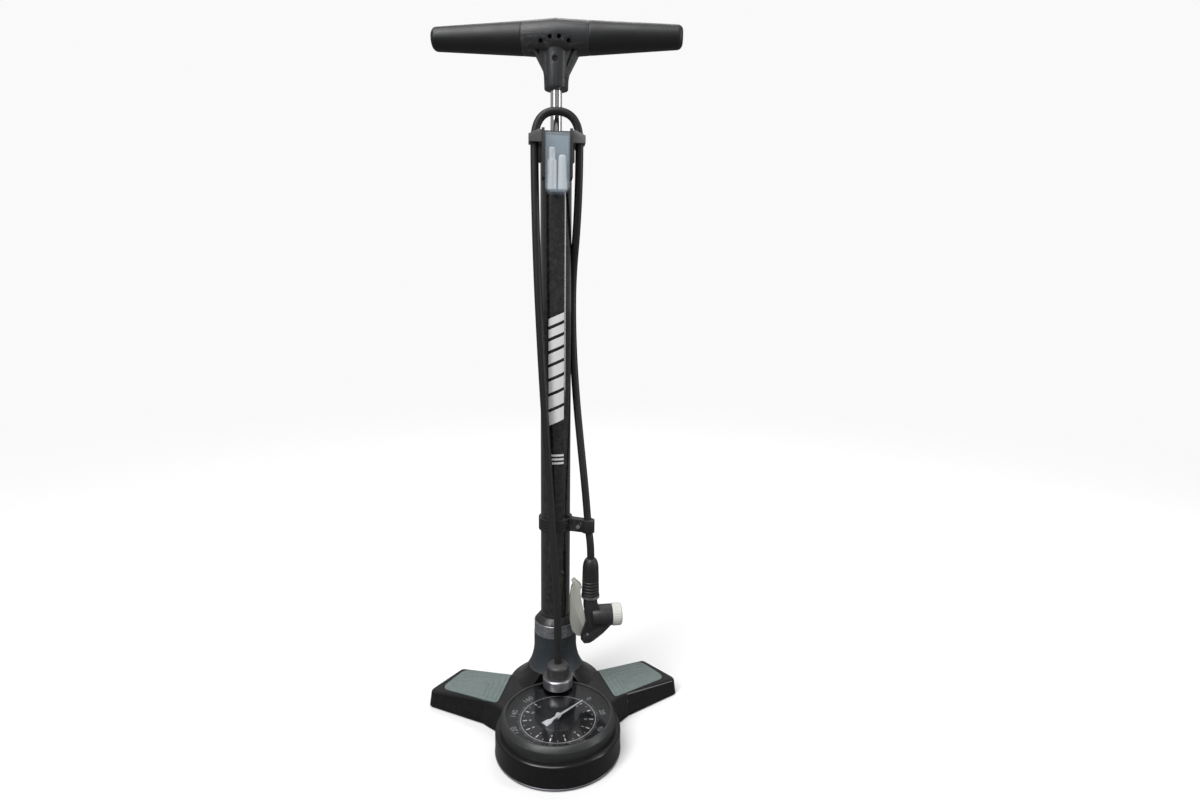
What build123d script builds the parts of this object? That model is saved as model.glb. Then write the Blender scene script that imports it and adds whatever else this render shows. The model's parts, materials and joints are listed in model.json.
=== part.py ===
"""Floor pump for bicycle tyres: barrel, piston and handle on a winged base with a large gauge.

Millimetres. +Z is up, the origin is on the floor under the barrel's axis, the gauge faces -Y.
"""
from build123d import *
import math
import os

os.makedirs("parts", exist_ok=True)

# --- clearances -------------------------------------------------------------------------------
running_gap = 0.05  # shaft in a bore that moves
seat_gap = 0.02  # parts that are pushed together
free_gap = 0.4  # moving parts that pass without touching

# --- barrel, foot valve and tower -------------------------------------------------------------
barrel_radius = 15.9
barrel_wall = 1.2
barrel_foot = 62.0
barrel_top = 606.0
flange_height = 4.0
plug_height = 7.0
stem_radius = 11.0
stem_foot = 14.0
seal_section = 1.8
port_radius = 1.6
ball_radius = 3.0
seat_radius = 2.0
chamber_radius = 3.6
chamber_foot = 44.0
pipe_wall = 0.8
feed_height = 49.6
gauge_feed_height = 18.6

tower_seam = 47.0
tower_wall = 7.4
flare_radius = 55.0
flare_top = 72.0
band_foot = 86.0
band_height = 13.5
band_wall = 1.4
nut_height = 6.5
nut_top_wall = 1.3

# --- base -------------------------------------------------------------------------------------
drum_radius = 63.0
drum_reach = 17.0
drum_height = 25.0
drum_rim = 2.5
shell_foot = 1.0
cover_thickness = 2.2
cover_inset = 4.0
wing_height = 35.4
wing_fall = 0.127
wing_draft = 8.0
pad_proud = 0.8
pad_seat = 1.2
foot_radius = 10.0
front_foot_reach = 46.0
front_screw_reach = 38.0
screw_head_radius = 3.6
screw_head_height = 1.0
screw_head_recess = 0.2
screw_radius = 1.8
cross_screw_radius = 1.6
screw_length = 11.0

# --- gauge ------------------------------------------------------------------------------------
case_inset = 7.1
case_wall = 2.4
case_foot = 10.0
dial_face = 30.2
dial_thickness = 0.8
lens_inset = 1.9
lens_foot = 36.6
lens_thickness = 2.0
bezel_inset = 5.0
bezel_edge = 34.6
bezel_top = 39.4
bezel_lip = 1.4
needle_foot = 32.8
needle_thickness = 0.7
needle_length = 36.0
needle_tail = 19.0
needle_angle = 42.0
spindle_radius = 1.2

# --- outlet -----------------------------------------------------------------------------------
outlet_x = 1.5
outlet_y = -36.0
elbow_radius = 16.0
elbow_foot = 41.0
elbow_top = 52.0
hose_nut_radius = 12.0
hose_nut_top = 66.0

# --- hose -------------------------------------------------------------------------------------
hose_radius = 4.0
hook_x = 21.8
hook_y = -18.5
clip_x = 34.4
clip_y = -16.4
clip_z = 210.8
head_x = 37.0
head_y = -20.8
relief_top = 176.0

# --- cap, bush and bracket ----------------------------------------------------------------------
cap_wall = 2.7
cap_skirt = 20.0
cap_roof = 6.0
bush_wall = 2.25
bush_length = 15.0
bush_flange_reach = 2.5
bush_flange_height = 1.6
wiper_wall = 1.65
wiper_height = 3.0
bracket_height = 45.0
bracket_rise = 5.0
bracket_ring_height = 11.0
bracket_wall = 2.4
channel_half = 14.9
rail_width = 2.7
plate_wall = 4.0
rail_depth = 10.9
groove_depth = 5.4
slide_gap = 0.3
tongue = 0.9
hook_wall = 1.8

# --- accessory case -----------------------------------------------------------------------------
box_depth = 14.1
box_height = 55.5
box_rise = 0.5
box_wall = 1.2
box_round = 7.0
box_edge = 1.0
adapter_radius = 4.5
adapter_x = 5.0
adapter_bore = 1.2
stepped_length = 39.0
cone_length = 32.0

# --- rod, piston and handle ---------------------------------------------------------------------
rod_radius = 5.75
rod_wall = 1.25
rod_rise = 5.5
piston_gap = 0.6
piston_rest = 45.0
rod_shoulder = 0.3
piston_disc_height = 6.0
cup_lip = 8.0
piston_hub = 9.0
piston_screw_radius = 2.0
piston_screw_length = 11.0
piston_screw_head_radius = 5.0
bumper_height = 4.0
handle_rest = 49.0
stem_height = 47.5
handle_turn = -9.0
hub_half = 33.0
hub_radius = 17.6
hub_end_radius = 15.4
grip_length = 90.0
grip_end_radius = 10.8
grip_rounding = 5.5
handle_stem_wall = 6.05
fan_half = 22.4
fan_height = 35.0
fan_neck_height = 16.0
fan_depth = 8.5
handle_screw_rise = 25.0

# --- clamp band ---------------------------------------------------------------------------------
clamp_foot = 204.0
clamp_height = 13.5
clamp_wall = 2.3
clip_wall = 2.8
clamp_screw_reach = 5.0

# --- chuck (hose head) --------------------------------------------------------------------------
chuck_turn = 4.0
ring_foot = 132.6
ring_height = 2.4
ring_radius = 9.9
relief_radius = 9.5
neck_radius = 7.6
nozzle_height = 110.6
nozzle_radius = 11.4
nozzle_shoulder = 23.4
nozzle_nut_radius = 12.0
nozzle_nut_end = 34.0
valve_bore = 3.9
pin_x = -4.0
pin_z = 93.0
pin_radius = 1.5
lever_half = 4.3
cheek_gap = 0.35
cheek_wall = 2.4


def save(piece, name):
    """Label a finished piece and write it to its own file."""
    piece.part.label = name
    export_step(piece.part, f"parts/{name}.step")


def turned(points, x=0.0, y=0.0, mode=Mode.ADD):
    """Turn a closed outline of (radius, height) points about the upright line through (x, y)."""
    with BuildSketch(Plane((x, y, 0), x_dir=(1, 0, 0), z_dir=(0, -1, 0))) as outline:
        with BuildLine():
            Polyline(*points, close=True)
        make_face()
    revolve(outline.sketch, axis=Axis((x, y, 0), (0, 0, 1)), mode=mode)


def rod_between(start, end, radius, mode=Mode.ADD):
    """A round bar of one radius from one point to another."""
    run = Vector(*end) - Vector(*start)
    with BuildSketch(Plane(start, z_dir=run)) as section:
        Circle(radius)
    extrude(section.sketch, amount=run.length, mode=mode)


barrel_bore = barrel_radius - barrel_wall
barrel_seat = barrel_radius + seat_gap
tower_radius = barrel_radius + tower_wall
nut_top_radius = barrel_radius + nut_top_wall
band_top = band_foot + band_height

drum_y = -(drum_radius + drum_reach)
case_radius = drum_radius - case_inset
lens_radius = case_radius - lens_inset
bezel_radius = drum_radius - bezel_inset

cap_radius = barrel_radius + cap_wall
cap_foot = barrel_top - cap_skirt
cap_top = barrel_top + cap_roof
rod_bore = rod_radius - rod_wall
bush_radius = rod_radius + bush_wall
bush_foot = cap_top - bush_length
bush_flange = bush_radius + bush_flange_reach
wiper_radius = rod_radius + wiper_wall
bracket_top = barrel_top + bracket_rise
bracket_foot = bracket_top - bracket_height
bracket_ring_foot = bracket_top - bracket_ring_height
hook_foot = bracket_ring_foot
hook_outer = hook_x + hose_radius + hook_wall
box_top = barrel_top + box_rise
box_foot = box_top - box_height

plate_front = -(cap_radius + plate_wall)
rail_front = plate_front - rail_depth
groove_y = plate_front - groove_depth
rail_inner = channel_half - rail_width
box_back = plate_front - slide_gap
box_half = rail_inner - slide_gap
clamp_screw_x = barrel_radius + clamp_wall + clamp_screw_reach

piston_radius = barrel_bore - piston_gap
piston_foot = barrel_foot + plug_height + piston_rest
rod_foot = piston_foot + cup_lip + piston_disc_height + rod_shoulder
handle_stem_foot = barrel_top + handle_rest
handle_axis = handle_stem_foot + stem_height
rod_top = handle_axis + rod_rise
fan_top = handle_stem_foot + fan_height
fan_neck = handle_stem_foot + fan_neck_height
handle_screw_height = handle_stem_foot + handle_screw_rise
stem_bottom_radius = rod_radius + handle_stem_wall


def flare_at(height):
    """Radius of the tower's flared foot at a height below flare_top."""
    drop = flare_top - height
    return tower_radius + flare_radius - math.sqrt(flare_radius**2 - drop**2)


# --- barrel and foot valve ----------------------------------------------------------------------
with BuildPart() as barrel_tube:
    with BuildSketch(Plane.XY.offset(barrel_foot)):
        Circle(barrel_radius)
        Circle(barrel_bore, mode=Mode.SUBTRACT)
    extrude(amount=barrel_top - barrel_foot)
save(barrel_tube, "barrel_tube")

plug_radius = barrel_bore - running_gap
plug_top = barrel_foot + plug_height
groove_radius = barrel_bore - seal_section
groove_foot = barrel_foot + 0.5 * (plug_height - seal_section)
seat_height = plug_top - 3.0
ball_height = seat_height - math.sqrt(ball_radius**2 - seat_radius**2) - running_gap

with BuildPart() as valve_block:
    turned(
        [
            (0, stem_foot),
            (stem_radius, stem_foot),
            (stem_radius, barrel_foot - flange_height),
            (barrel_radius, barrel_foot - flange_height),
            (barrel_radius, barrel_foot),
            (plug_radius, barrel_foot),
            (plug_radius, groove_foot),
            (groove_radius, groove_foot),
            (groove_radius, groove_foot + seal_section),
            (plug_radius, groove_foot + seal_section),
            (plug_radius, plug_top),
            (0, plug_top),
        ]
    )
    with BuildSketch(Plane.XY.offset(seat_height)):
        Circle(seat_radius)
    extrude(amount=plug_top - seat_height, mode=Mode.SUBTRACT)
    with BuildSketch(Plane.XY.offset(chamber_foot)):
        Circle(chamber_radius)
    extrude(amount=seat_height - chamber_foot, mode=Mode.SUBTRACT)
    with BuildSketch(Plane.XY.offset(gauge_feed_height)):
        Circle(port_radius)
    extrude(amount=chamber_foot - gauge_feed_height, mode=Mode.SUBTRACT)
    for height in (feed_height, gauge_feed_height):
        rod_between((0, 0, height), (0, -stem_radius - 1, height), port_radius + pipe_wall, Mode.SUBTRACT)
save(valve_block, "valve_block")

with BuildPart() as barrel_seal:
    with BuildSketch(Plane.XZ):
        with Locations((barrel_bore - 0.5 * seal_section, groove_foot + 0.5 * seal_section)):
            Circle(0.5 * seal_section)
    revolve(axis=Axis.Z)
save(barrel_seal, "barrel_seal")

with BuildPart() as check_ball:
    with Locations((0, 0, ball_height)):
        Sphere(ball_radius)
save(check_ball, "check_ball")

spring_wire = 0.3
spring_foot = chamber_foot + 2.0
spring_top = ball_height - ball_radius
spring_length = spring_top - spring_foot - 2 * spring_wire
with BuildPart() as valve_spring:
    with BuildLine() as coil:
        Helix(
            pitch=spring_length / 6,
            height=spring_length,
            radius=2.2,
            center=(0, 0, spring_foot + spring_wire),
        )
    with BuildSketch(Plane(coil.line @ 0, z_dir=coil.line % 0)):
        Circle(spring_wire)
    sweep(path=coil.line, is_frenet=True)
save(valve_spring, "valve_spring")

with BuildPart() as spring_seat:
    turned(
        [
            (port_radius, chamber_foot),
            (chamber_radius - seat_gap, chamber_foot),
            (chamber_radius - seat_gap, spring_foot - running_gap),
            (port_radius, spring_foot - running_gap),
        ]
    )
save(spring_seat, "spring_seat")

elbow_back = outlet_y + elbow_radius
with BuildPart() as outlet_pipe:
    pipe_radius = port_radius + pipe_wall
    rod_between((0, -chamber_radius - 1, feed_height), (0, elbow_back - 4, feed_height), pipe_radius)
    rod_between((0, 0, feed_height), (0, elbow_back - 9, feed_height), port_radius, Mode.SUBTRACT)
save(outlet_pipe, "outlet_pipe")

gauge_back = drum_y + case_radius
with BuildPart() as gauge_pipe:
    rod_between(
        (0, -port_radius - 1, gauge_feed_height),
        (0, gauge_back - 4, gauge_feed_height),
        port_radius + pipe_wall,
    )
    rod_between((0, 0, gauge_feed_height), (0, gauge_back - 9, gauge_feed_height), port_radius, Mode.SUBTRACT)
save(gauge_pipe, "gauge_pipe")

# --- tower --------------------------------------------------------------------------------------
with BuildPart() as tower_collar:
    with BuildSketch(Plane.XZ):
        with BuildLine():
            seam = (flare_at(tower_seam), tower_seam)
            middle = 0.5 * (tower_seam + flare_top)
            Polyline((stem_radius + seat_gap, tower_seam), seam)
            ThreePointArc(seam, (flare_at(middle), middle), (tower_radius, flare_top))
            Polyline(
                (tower_radius, flare_top),
                (tower_radius, band_foot),
                (tower_radius - band_wall, band_foot),
                (tower_radius - band_wall, band_top),
                (barrel_seat, band_top),
                (barrel_seat, barrel_foot - flange_height),
                (stem_radius + seat_gap, barrel_foot - flange_height),
                (stem_radius + seat_gap, tower_seam),
            )
        make_face()
    revolve(axis=Axis.Z)
    with BuildSketch(Plane.XY.offset(tower_seam)):
        with Locations((outlet_x, outlet_y)):
            Circle(elbow_radius + seat_gap)
    extrude(amount=elbow_top - tower_seam, mode=Mode.SUBTRACT)
    with BuildSketch(Plane.XY.offset(elbow_top)):
        with Locations((outlet_x, outlet_y)):
            Circle(hose_nut_radius + free_gap)
    extrude(amount=hose_nut_top - elbow_top, mode=Mode.SUBTRACT)
    rod_between(
        (0, 0, feed_height),
        (0, elbow_back - 2, feed_height),
        port_radius + pipe_wall + seat_gap,
        Mode.SUBTRACT,
    )
save(tower_collar, "tower_collar")

with BuildPart() as collar_band:
    turned(
        [
            (tower_radius - band_wall, band_foot),
            (tower_radius - 0.3, band_foot),
            (tower_radius - 0.3, band_top - 0.5),
            (tower_radius - 0.8, band_top),
            (tower_radius - band_wall, band_top),
        ]
    )
save(collar_band, "collar_band")

with BuildPart() as barrel_nut:
    turned(
        [
            (barrel_seat, band_top),
            (tower_radius - 0.9, band_top),
            (nut_top_radius, band_top + nut_height),
            (barrel_seat, band_top + nut_height),
        ]
    )
save(barrel_nut, "barrel_nut")

# --- base shell ---------------------------------------------------------------------------------
wing_outline = [
    (0, -60),
    (48, -72),
    (66, -50),
    (79, -37),
    (144.2, 1.5),
    (107.5, 42),
    (38, 8),
    (0, 20),
]
pad_outline = [(49.5, 5.8), (103.5, 32.3), (127, 2), (62.5, -43.5)]
wing_corner = 8.0
wing_edge = 3.5
pad_corner = 3.0
outer_pad_corner = 9.0


def wing_plane(lift):
    """The sloping top of the right wing, raised by a distance straight up."""
    return Plane((0, 0, wing_height + lift), z_dir=(wing_fall, 0, 1))


with BuildPart() as wing:
    with BuildSketch(Plane.XY.offset(shell_foot)) as plan:
        Polygon(*wing_outline, align=None)
        fillet([v for v in plan.vertices() if v.X > 100], wing_corner)
    extrude(amount=wing_height + 4, taper=wing_draft)
    split(bisect_by=wing_plane(0), keep=Keep.BOTTOM)
    rim = [e for e in wing.faces().sort_by(Axis.Z)[-1].edges() if e.center().X > 72]
    fillet(rim, wing_edge)

with BuildPart() as drum:
    with BuildSketch(Plane((0, drum_y, 0), x_dir=(1, 0, 0), z_dir=(0, -1, 0))) as drum_section:
        with BuildLine():
            Polyline(
                (0, shell_foot),
                (drum_radius, shell_foot),
                (drum_radius, drum_height),
                (0, drum_height),
                close=True,
            )
        make_face()
        fillet(drum_section.vertices().group_by(Axis.Z)[-1].sort_by(Axis.X)[-1], drum_rim)
    revolve(axis=Axis((0, drum_y, 0), (0, 0, 1)))

with BuildPart() as flare:
    with BuildSketch(Plane.XZ):
        with BuildLine():
            flare_foot = 24.0
            seam = (flare_at(tower_seam), tower_seam)
            low = (flare_at(flare_foot), flare_foot)
            middle = 0.5 * (tower_seam + flare_foot)
            ThreePointArc(seam, (flare_at(middle), middle), low)
            Polyline(low, (low[0], shell_foot), (0, shell_foot), (0, tower_seam), seam)
        make_face()
    revolve(axis=Axis.Z)

cover_top = shell_foot + cover_thickness
cover_outline = [(0, 26), (40, 12), (100, 32), (126, 4), (74, -32), (50, -60), (0, -60)]


def cover_plan(gap):
    """Outline of the bottom cover, smaller by a gap all round."""
    with BuildSketch(Plane.XY.offset(shell_foot), mode=Mode.PRIVATE) as plan:
        with Locations((0, drum_y)):
            Circle(drum_radius - cover_inset)
        for side in (1, -1):
            Polygon(*[(side * x, y) for x, y in cover_outline], align=None)
        if gap:
            offset(amount=-gap, kind=Kind.INTERSECTION)
    return plan.sketch


def pad_block(side, low, high, shrink=0.0):
    """The part of a foot pad's outline between two copies of the wing's sloping top."""
    with BuildPart(mode=Mode.PRIVATE) as block:
        with BuildSketch() as plan:
            Polygon(*[(side * x, y) for x, y in pad_outline], align=None)
            fillet([v for v in plan.vertices() if abs(v.X) > 100], outer_pad_corner)
            fillet([v for v in plan.vertices() if abs(v.X) < 70], pad_corner)
            if shrink:
                offset(amount=-shrink)
        extrude(amount=wing_height + 10)
        for lift, keep in ((low, Keep.TOP), (high, Keep.BOTTOM)):
            split(bisect_by=Plane((0, 0, wing_height + lift), z_dir=(side * wing_fall, 0, 1)), keep=keep)
    return block.part


cover_screws = [(70, -6), (-70, -6), (0, 12)]
front_screw = (0, drum_y - front_screw_reach)
feet = [(0, 0), (0, drum_y - front_foot_reach), (98, 8), (-98, 8)]

with BuildPart() as base_shell:
    add(wing)
    mirror(about=Plane.YZ)
    add(drum)
    add(flare)
    # well of the gauge case, seat of the bezel, and the room below the gauge
    for foot, radius in (
        (case_foot, case_radius + seat_gap),
        (drum_height, bezel_radius + free_gap),
        (shell_foot, case_radius - 2),
    ):
        with BuildSketch(Plane.XY.offset(foot)):
            with Locations((0, drum_y)):
                Circle(radius)
        extrude(amount=tower_seam, mode=Mode.SUBTRACT)
    # bore of the valve stem and seat of the outlet elbow
    with BuildSketch(Plane.XY.offset(stem_foot)):
        Circle(stem_radius + seat_gap)
    extrude(amount=tower_seam, mode=Mode.SUBTRACT)
    with BuildSketch(Plane.XY.offset(elbow_foot)):
        with Locations((outlet_x, outlet_y)):
            Circle(elbow_radius + seat_gap)
    extrude(amount=tower_seam, mode=Mode.SUBTRACT)
    for height in (gauge_feed_height, feed_height):
        rod_between((0, 0, height), (0, -40, height), port_radius + pipe_wall + seat_gap, Mode.SUBTRACT)
    # hollow under each wing
    for side in (1, -1):
        with BuildSketch(Plane.XY.offset(cover_top)):
            Polygon(*[(side * x, y) for x, y in [(84, 4), (104, 22), (116, 4), (90, -16)]], align=None)
        extrude(amount=10, mode=Mode.SUBTRACT)
        add(pad_block(side, -pad_seat, 9), mode=Mode.SUBTRACT)
    extrude(cover_plan(0), amount=cover_thickness, mode=Mode.SUBTRACT)
    with Locations(*[(x, y, cover_top) for x, y in cover_screws]):
        Hole(screw_radius, depth=screw_length)
save(base_shell, "base_shell")

with BuildPart() as base_cover:
    extrude(cover_plan(seat_gap), amount=cover_thickness)
    with Locations(*[(x, y, cover_top) for x, y in (front_screw, *cover_screws)]):
        Hole(screw_radius, depth=cover_thickness)
    with Locations(*[(x, y, shell_foot) for x, y in (front_screw, *cover_screws)]):
        Cylinder(
            screw_head_radius + seat_gap,
            screw_head_recess + screw_head_height,
            align=(Align.CENTER, Align.CENTER, Align.MIN),
            mode=Mode.SUBTRACT,
        )
save(base_cover, "base_cover")

with BuildPart() as cover_screw_set:
    head_foot = shell_foot + screw_head_recess
    head_top = head_foot + screw_head_height
    reaches = [screw_length] * len(cover_screws) + [case_foot - cover_top]
    for (x, y), reach in zip((*cover_screws, front_screw), reaches):
        turned(
            [
                (0, head_foot),
                (screw_head_radius, head_foot),
                (screw_head_radius, head_top),
                (screw_radius - seat_gap, head_top),
                (screw_radius - seat_gap, cover_top + reach - 1),
                (0, cover_top + reach - 1),
            ],
            x,
            y,
        )
save(cover_screw_set, "cover_screws")

with BuildPart() as rubber_feet:
    for x, y in feet:
        with BuildSketch(Plane.XY):
            with Locations((x, y)):
                Circle(foot_radius)
    extrude(amount=shell_foot)
save(rubber_feet, "rubber_feet")

for side, name in ((1, "foot_pad_right"), (-1, "foot_pad_left")):
    with BuildPart() as foot_pad:
        add(pad_block(side, -pad_seat, pad_proud, seat_gap))
    save(foot_pad, name)

# --- gauge --------------------------------------------------------------------------------------
dial_foot = dial_face - dial_thickness
lens_top = lens_foot + lens_thickness

with BuildPart() as gauge_case:
    turned(
        [
            (0, case_foot),
            (case_radius, case_foot),
            (case_radius, lens_foot - 0.2),
            (case_radius - case_wall, lens_foot - 0.2),
            (case_radius - case_wall, case_foot + case_wall),
            (0, case_foot + case_wall),
        ],
        0,
        drum_y,
    )
    rod_between(
        (0, 0, gauge_feed_height),
        (0, gauge_back - 6, gauge_feed_height),
        port_radius + pipe_wall + seat_gap,
        Mode.SUBTRACT,
    )
save(gauge_case, "gauge_case")

with BuildPart() as gauge_bezel:
    turned(
        [
            (case_radius + seat_gap, drum_height),
            (bezel_radius, drum_height),
            (bezel_radius, bezel_edge),
            (lens_radius + 0.2, bezel_top),
            (lens_radius - bezel_lip, bezel_top),
            (lens_radius - bezel_lip, lens_top + seat_gap),
            (lens_radius + seat_gap, lens_top + seat_gap),
            (lens_radius + seat_gap, lens_foot),
            (case_radius + seat_gap, lens_foot),
        ],
        0,
        drum_y,
    )
save(gauge_bezel, "gauge_bezel")

with BuildPart() as gauge_lens:
    turned([(0, lens_foot), (lens_radius, lens_foot), (lens_radius, lens_top), (0, lens_top)], 0, drum_y)
save(gauge_lens, "gauge_lens")

with BuildPart() as gauge_dial:
    turned(
        [
            (spindle_radius + free_gap, dial_foot),
            (case_radius - case_wall - seat_gap, dial_foot),
            (case_radius - case_wall - seat_gap, dial_face),
            (spindle_radius + free_gap, dial_face),
        ],
        0,
        drum_y,
    )
save(gauge_dial, "gauge_dial")

movement_foot = case_foot + case_wall
movement_top = 22.0
with BuildPart() as gauge_movement:
    with BuildSketch(Plane((0, drum_y, movement_foot))):
        Rectangle(34, 18)
        Circle(spindle_radius + running_gap, mode=Mode.SUBTRACT)
    extrude(amount=movement_top - movement_foot)
    with BuildSketch(Plane((0, drum_y, movement_top))):
        Circle(3.5)
        Circle(spindle_radius + running_gap, mode=Mode.SUBTRACT)
    extrude(amount=dial_foot - 1 - movement_top)
save(gauge_movement, "gauge_movement")

bourdon_radius = case_radius - 15.9
bourdon_width = 7.0
bourdon_depth = 2.6
with BuildPart() as bourdon_tube:
    with BuildSketch(Plane((0, drum_y, 0), x_dir=(0, 1, 0), z_dir=(1, 0, 0))) as bourdon_section:
        with Locations((bourdon_radius, 20.5)):
            RectangleRounded(bourdon_depth, bourdon_width, 1.2)
    revolve(bourdon_section.sketch, axis=Axis((0, drum_y, 0), (0, 0, 1)), revolution_arc=250)
save(bourdon_tube, "bourdon_tube")

with BuildPart() as bourdon_block:
    with BuildSketch(Plane((0, drum_y + bourdon_radius + 7.5, movement_foot))):
        Rectangle(14, 10.5)
    extrude(amount=dial_foot - 1 - movement_foot)
    rod_between(
        (0, 0, gauge_feed_height),
        (0, drum_y + bourdon_radius + 4, gauge_feed_height),
        port_radius + pipe_wall + seat_gap,
        Mode.SUBTRACT,
    )
save(bourdon_block, "bourdon_block")

needle_plane = Plane((0, drum_y, needle_foot)).rotated((0, 0, needle_angle))
with BuildPart() as gauge_needle:
    with BuildSketch(needle_plane):
        Polygon((0, 1.3), (needle_length, 0.3), (needle_length, -0.3), (0, -1.3), align=None)
        tail = [(0, 1.3), (-9, 1.6), (-12, 3.4), (-needle_tail, 3.8)]
        Polygon(*tail, *[(x, -y) for x, y in reversed(tail)], align=None)
        Circle(3.0)
    extrude(amount=needle_thickness)
    turned(
        [
            (0, movement_foot + 1),
            (spindle_radius, movement_foot + 1),
            (spindle_radius, needle_foot),
            (2.2, needle_foot),
            (2.2, needle_foot + 2.4),
            (1.6, needle_foot + 3.0),
            (0, needle_foot + 3.0),
        ],
        0,
        drum_y,
    )
save(gauge_needle, "gauge_needle")

# --- outlet -------------------------------------------------------------------------------------
with BuildPart() as outlet_elbow:
    turned(
        [
            (0, elbow_foot),
            (elbow_radius - 0.6, elbow_foot),
            (elbow_radius, elbow_foot + 0.6),
            (elbow_radius, elbow_top - 1.2),
            (elbow_radius - 1.2, elbow_top),
            (0, elbow_top),
        ],
        outlet_x,
        outlet_y,
    )
    riser_foot = (outlet_x, outlet_y, feed_height)
    rod_between(riser_foot, (outlet_x, outlet_y, elbow_top), port_radius, Mode.SUBTRACT)
    rod_between((0, outlet_y, feed_height), (0, 0, feed_height), port_radius, Mode.SUBTRACT)
    rod_between(
        (0, elbow_back - 4, feed_height),
        (0, 0, feed_height),
        port_radius + pipe_wall + seat_gap,
        Mode.SUBTRACT,
    )
save(outlet_elbow, "outlet_elbow")

with BuildPart() as hose_nut:
    turned(
        [
            (port_radius, elbow_top),
            (hose_nut_radius, elbow_top),
            (hose_nut_radius, hose_nut_top - 1.2),
            (hose_nut_radius - 1.2, hose_nut_top),
            (port_radius, hose_nut_top),
        ],
        outlet_x,
        outlet_y,
    )
save(hose_nut, "hose_nut")

# --- hose ---------------------------------------------------------------------------------------
hose_route = [
    (outlet_x, outlet_y, hose_nut_top),
    (outlet_x, outlet_y, 100),
    (0.2, -33.5, 145),
    (-3.0, -28.0, 198),
    (-6.6, -24.2, 252),
    (-11.6, -21.8, 325),
    (-16.2, -20.4, 405),
    (-19.8, -19.4, 485),
    (-hook_x, hook_y, 570),
    (-hook_x, hook_y, 630),
    (hook_x, hook_y, 630),
    (hook_x + 0.4, hook_y + 1, 575),
    (21.0, -6.0, 522),
    (17.6, 10.6, 470),
    (18.2, 11.2, 410),
    (21.5, 5.5, 352),
    (26.5, -2.5, 298),
    (31.3, -10.5, 250),
    (clip_x, clip_y, clip_z - 2),
    (head_x, head_y, 189),
    (head_x, head_y, relief_top),
]
route = [Vector(*p) for p in hose_route]
radii = []
for before, here, after in zip(route, route[1:], route[2:]):
    turn = (here - before).get_angle(after - here)
    shorter = min((here - before).length, (after - here).length)
    radii.append(0.45 * shorter / math.tan(math.radians(turn) / 2))
with BuildPart() as hose:
    with BuildLine() as hose_line:
        FilletPolyline(*hose_route, radius=radii)
    with BuildSketch(Plane(route[0], z_dir=route[1] - route[0])):
        Circle(hose_radius)
    sweep(path=hose_line.wires()[0])
save(hose, "hose")
hose_length = hose_line.wires()[0].length
print("hose radii", [round(r, 1) for r in radii])
print("hose length", round(hose_length, 1))
print("hose volume ratio", round(hose.part.volume / (math.pi * hose_radius**2 * hose_length), 4))

# --- clamp band with hose clip, round the barrel --------------------------------------------------
clamp_top = clamp_foot + clamp_height
clip_radius = hose_radius + clip_wall
tab_half = 4.0
tab_root_half = 5.0
tab_way = Vector(clip_x, clip_y).normalized()
tab_side = Vector(-tab_way.Y, tab_way.X)
with BuildPart() as clamp_band:
    with BuildSketch(Plane.XY.offset(clamp_foot)):
        Circle(barrel_radius + clamp_wall)
        with Locations((clip_x, clip_y)):
            Circle(clip_radius)
        near = tab_way * barrel_radius
        far = Vector(clip_x, clip_y)
        Polygon(
            tuple(near - tab_side * tab_root_half)[:2],
            tuple(far - tab_side * tab_half)[:2],
            tuple(far + tab_side * tab_half)[:2],
            tuple(near + tab_side * tab_root_half)[:2],
            align=None,
        )
        Circle(barrel_radius + seat_gap, mode=Mode.SUBTRACT)
    extrude(amount=clamp_height)
    add(hose.part, mode=Mode.SUBTRACT)
    # grip rings round the band
    for step in range(3):
        ring_z = clamp_foot + 3.2 + 3.2 * step
        turned(
            [
                (barrel_radius + clamp_wall - 0.5, ring_z),
                (barrel_radius + clamp_wall + 1, ring_z),
                (barrel_radius + clamp_wall + 1, ring_z + 0.9),
                (barrel_radius + clamp_wall - 0.5, ring_z + 0.9),
            ],
            mode=Mode.SUBTRACT,
        )
    clamp_middle = clamp_foot + 0.5 * clamp_height
    screw_y = tab_way.Y / tab_way.X * clamp_screw_x
    rod_between(
        (clamp_screw_x, screw_y - 12, clamp_middle),
        (clamp_screw_x, screw_y + 12, clamp_middle),
        cross_screw_radius,
        Mode.SUBTRACT,
    )
save(clamp_band, "clamp_band")

with BuildPart() as clamp_screw:
    shank_start = (clamp_screw_x, screw_y - 6.6, clamp_middle)
    shank_end = (clamp_screw_x, screw_y + 7.5, clamp_middle)
    rod_between(shank_start, shank_end, cross_screw_radius - seat_gap)
    rod_between((clamp_screw_x, screw_y - 8.4, clamp_middle), shank_start, 2.2)
save(clamp_screw, "clamp_screw")

# --- cap, bush and wiper --------------------------------------------------------------------------
bush_top = cap_top + bush_flange_height
with BuildPart() as barrel_cap:
    turned(
        [
            (barrel_seat, cap_foot),
            (cap_radius - 0.8, cap_foot),
            (cap_radius, cap_foot + 0.8),
            (cap_radius, cap_top - 1.5),
            (cap_radius - 1.5, cap_top),
            (bush_radius + seat_gap, cap_top),
            (bush_radius + seat_gap, barrel_top + seat_gap),
            (barrel_seat, barrel_top + seat_gap),
        ]
    )
save(barrel_cap, "barrel_cap")

with BuildPart() as rod_bush:
    turned(
        [
            (rod_radius + running_gap, bush_foot),
            (bush_radius, bush_foot),
            (bush_radius, cap_top),
            (bush_flange, cap_top),
            (bush_flange, bush_top - 0.6),
            (bush_flange - 0.6, bush_top),
            (wiper_radius, bush_top),
            (wiper_radius, bush_top - wiper_height),
            (rod_radius + running_gap, bush_top - wiper_height),
        ]
    )
save(rod_bush, "rod_bush")

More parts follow.
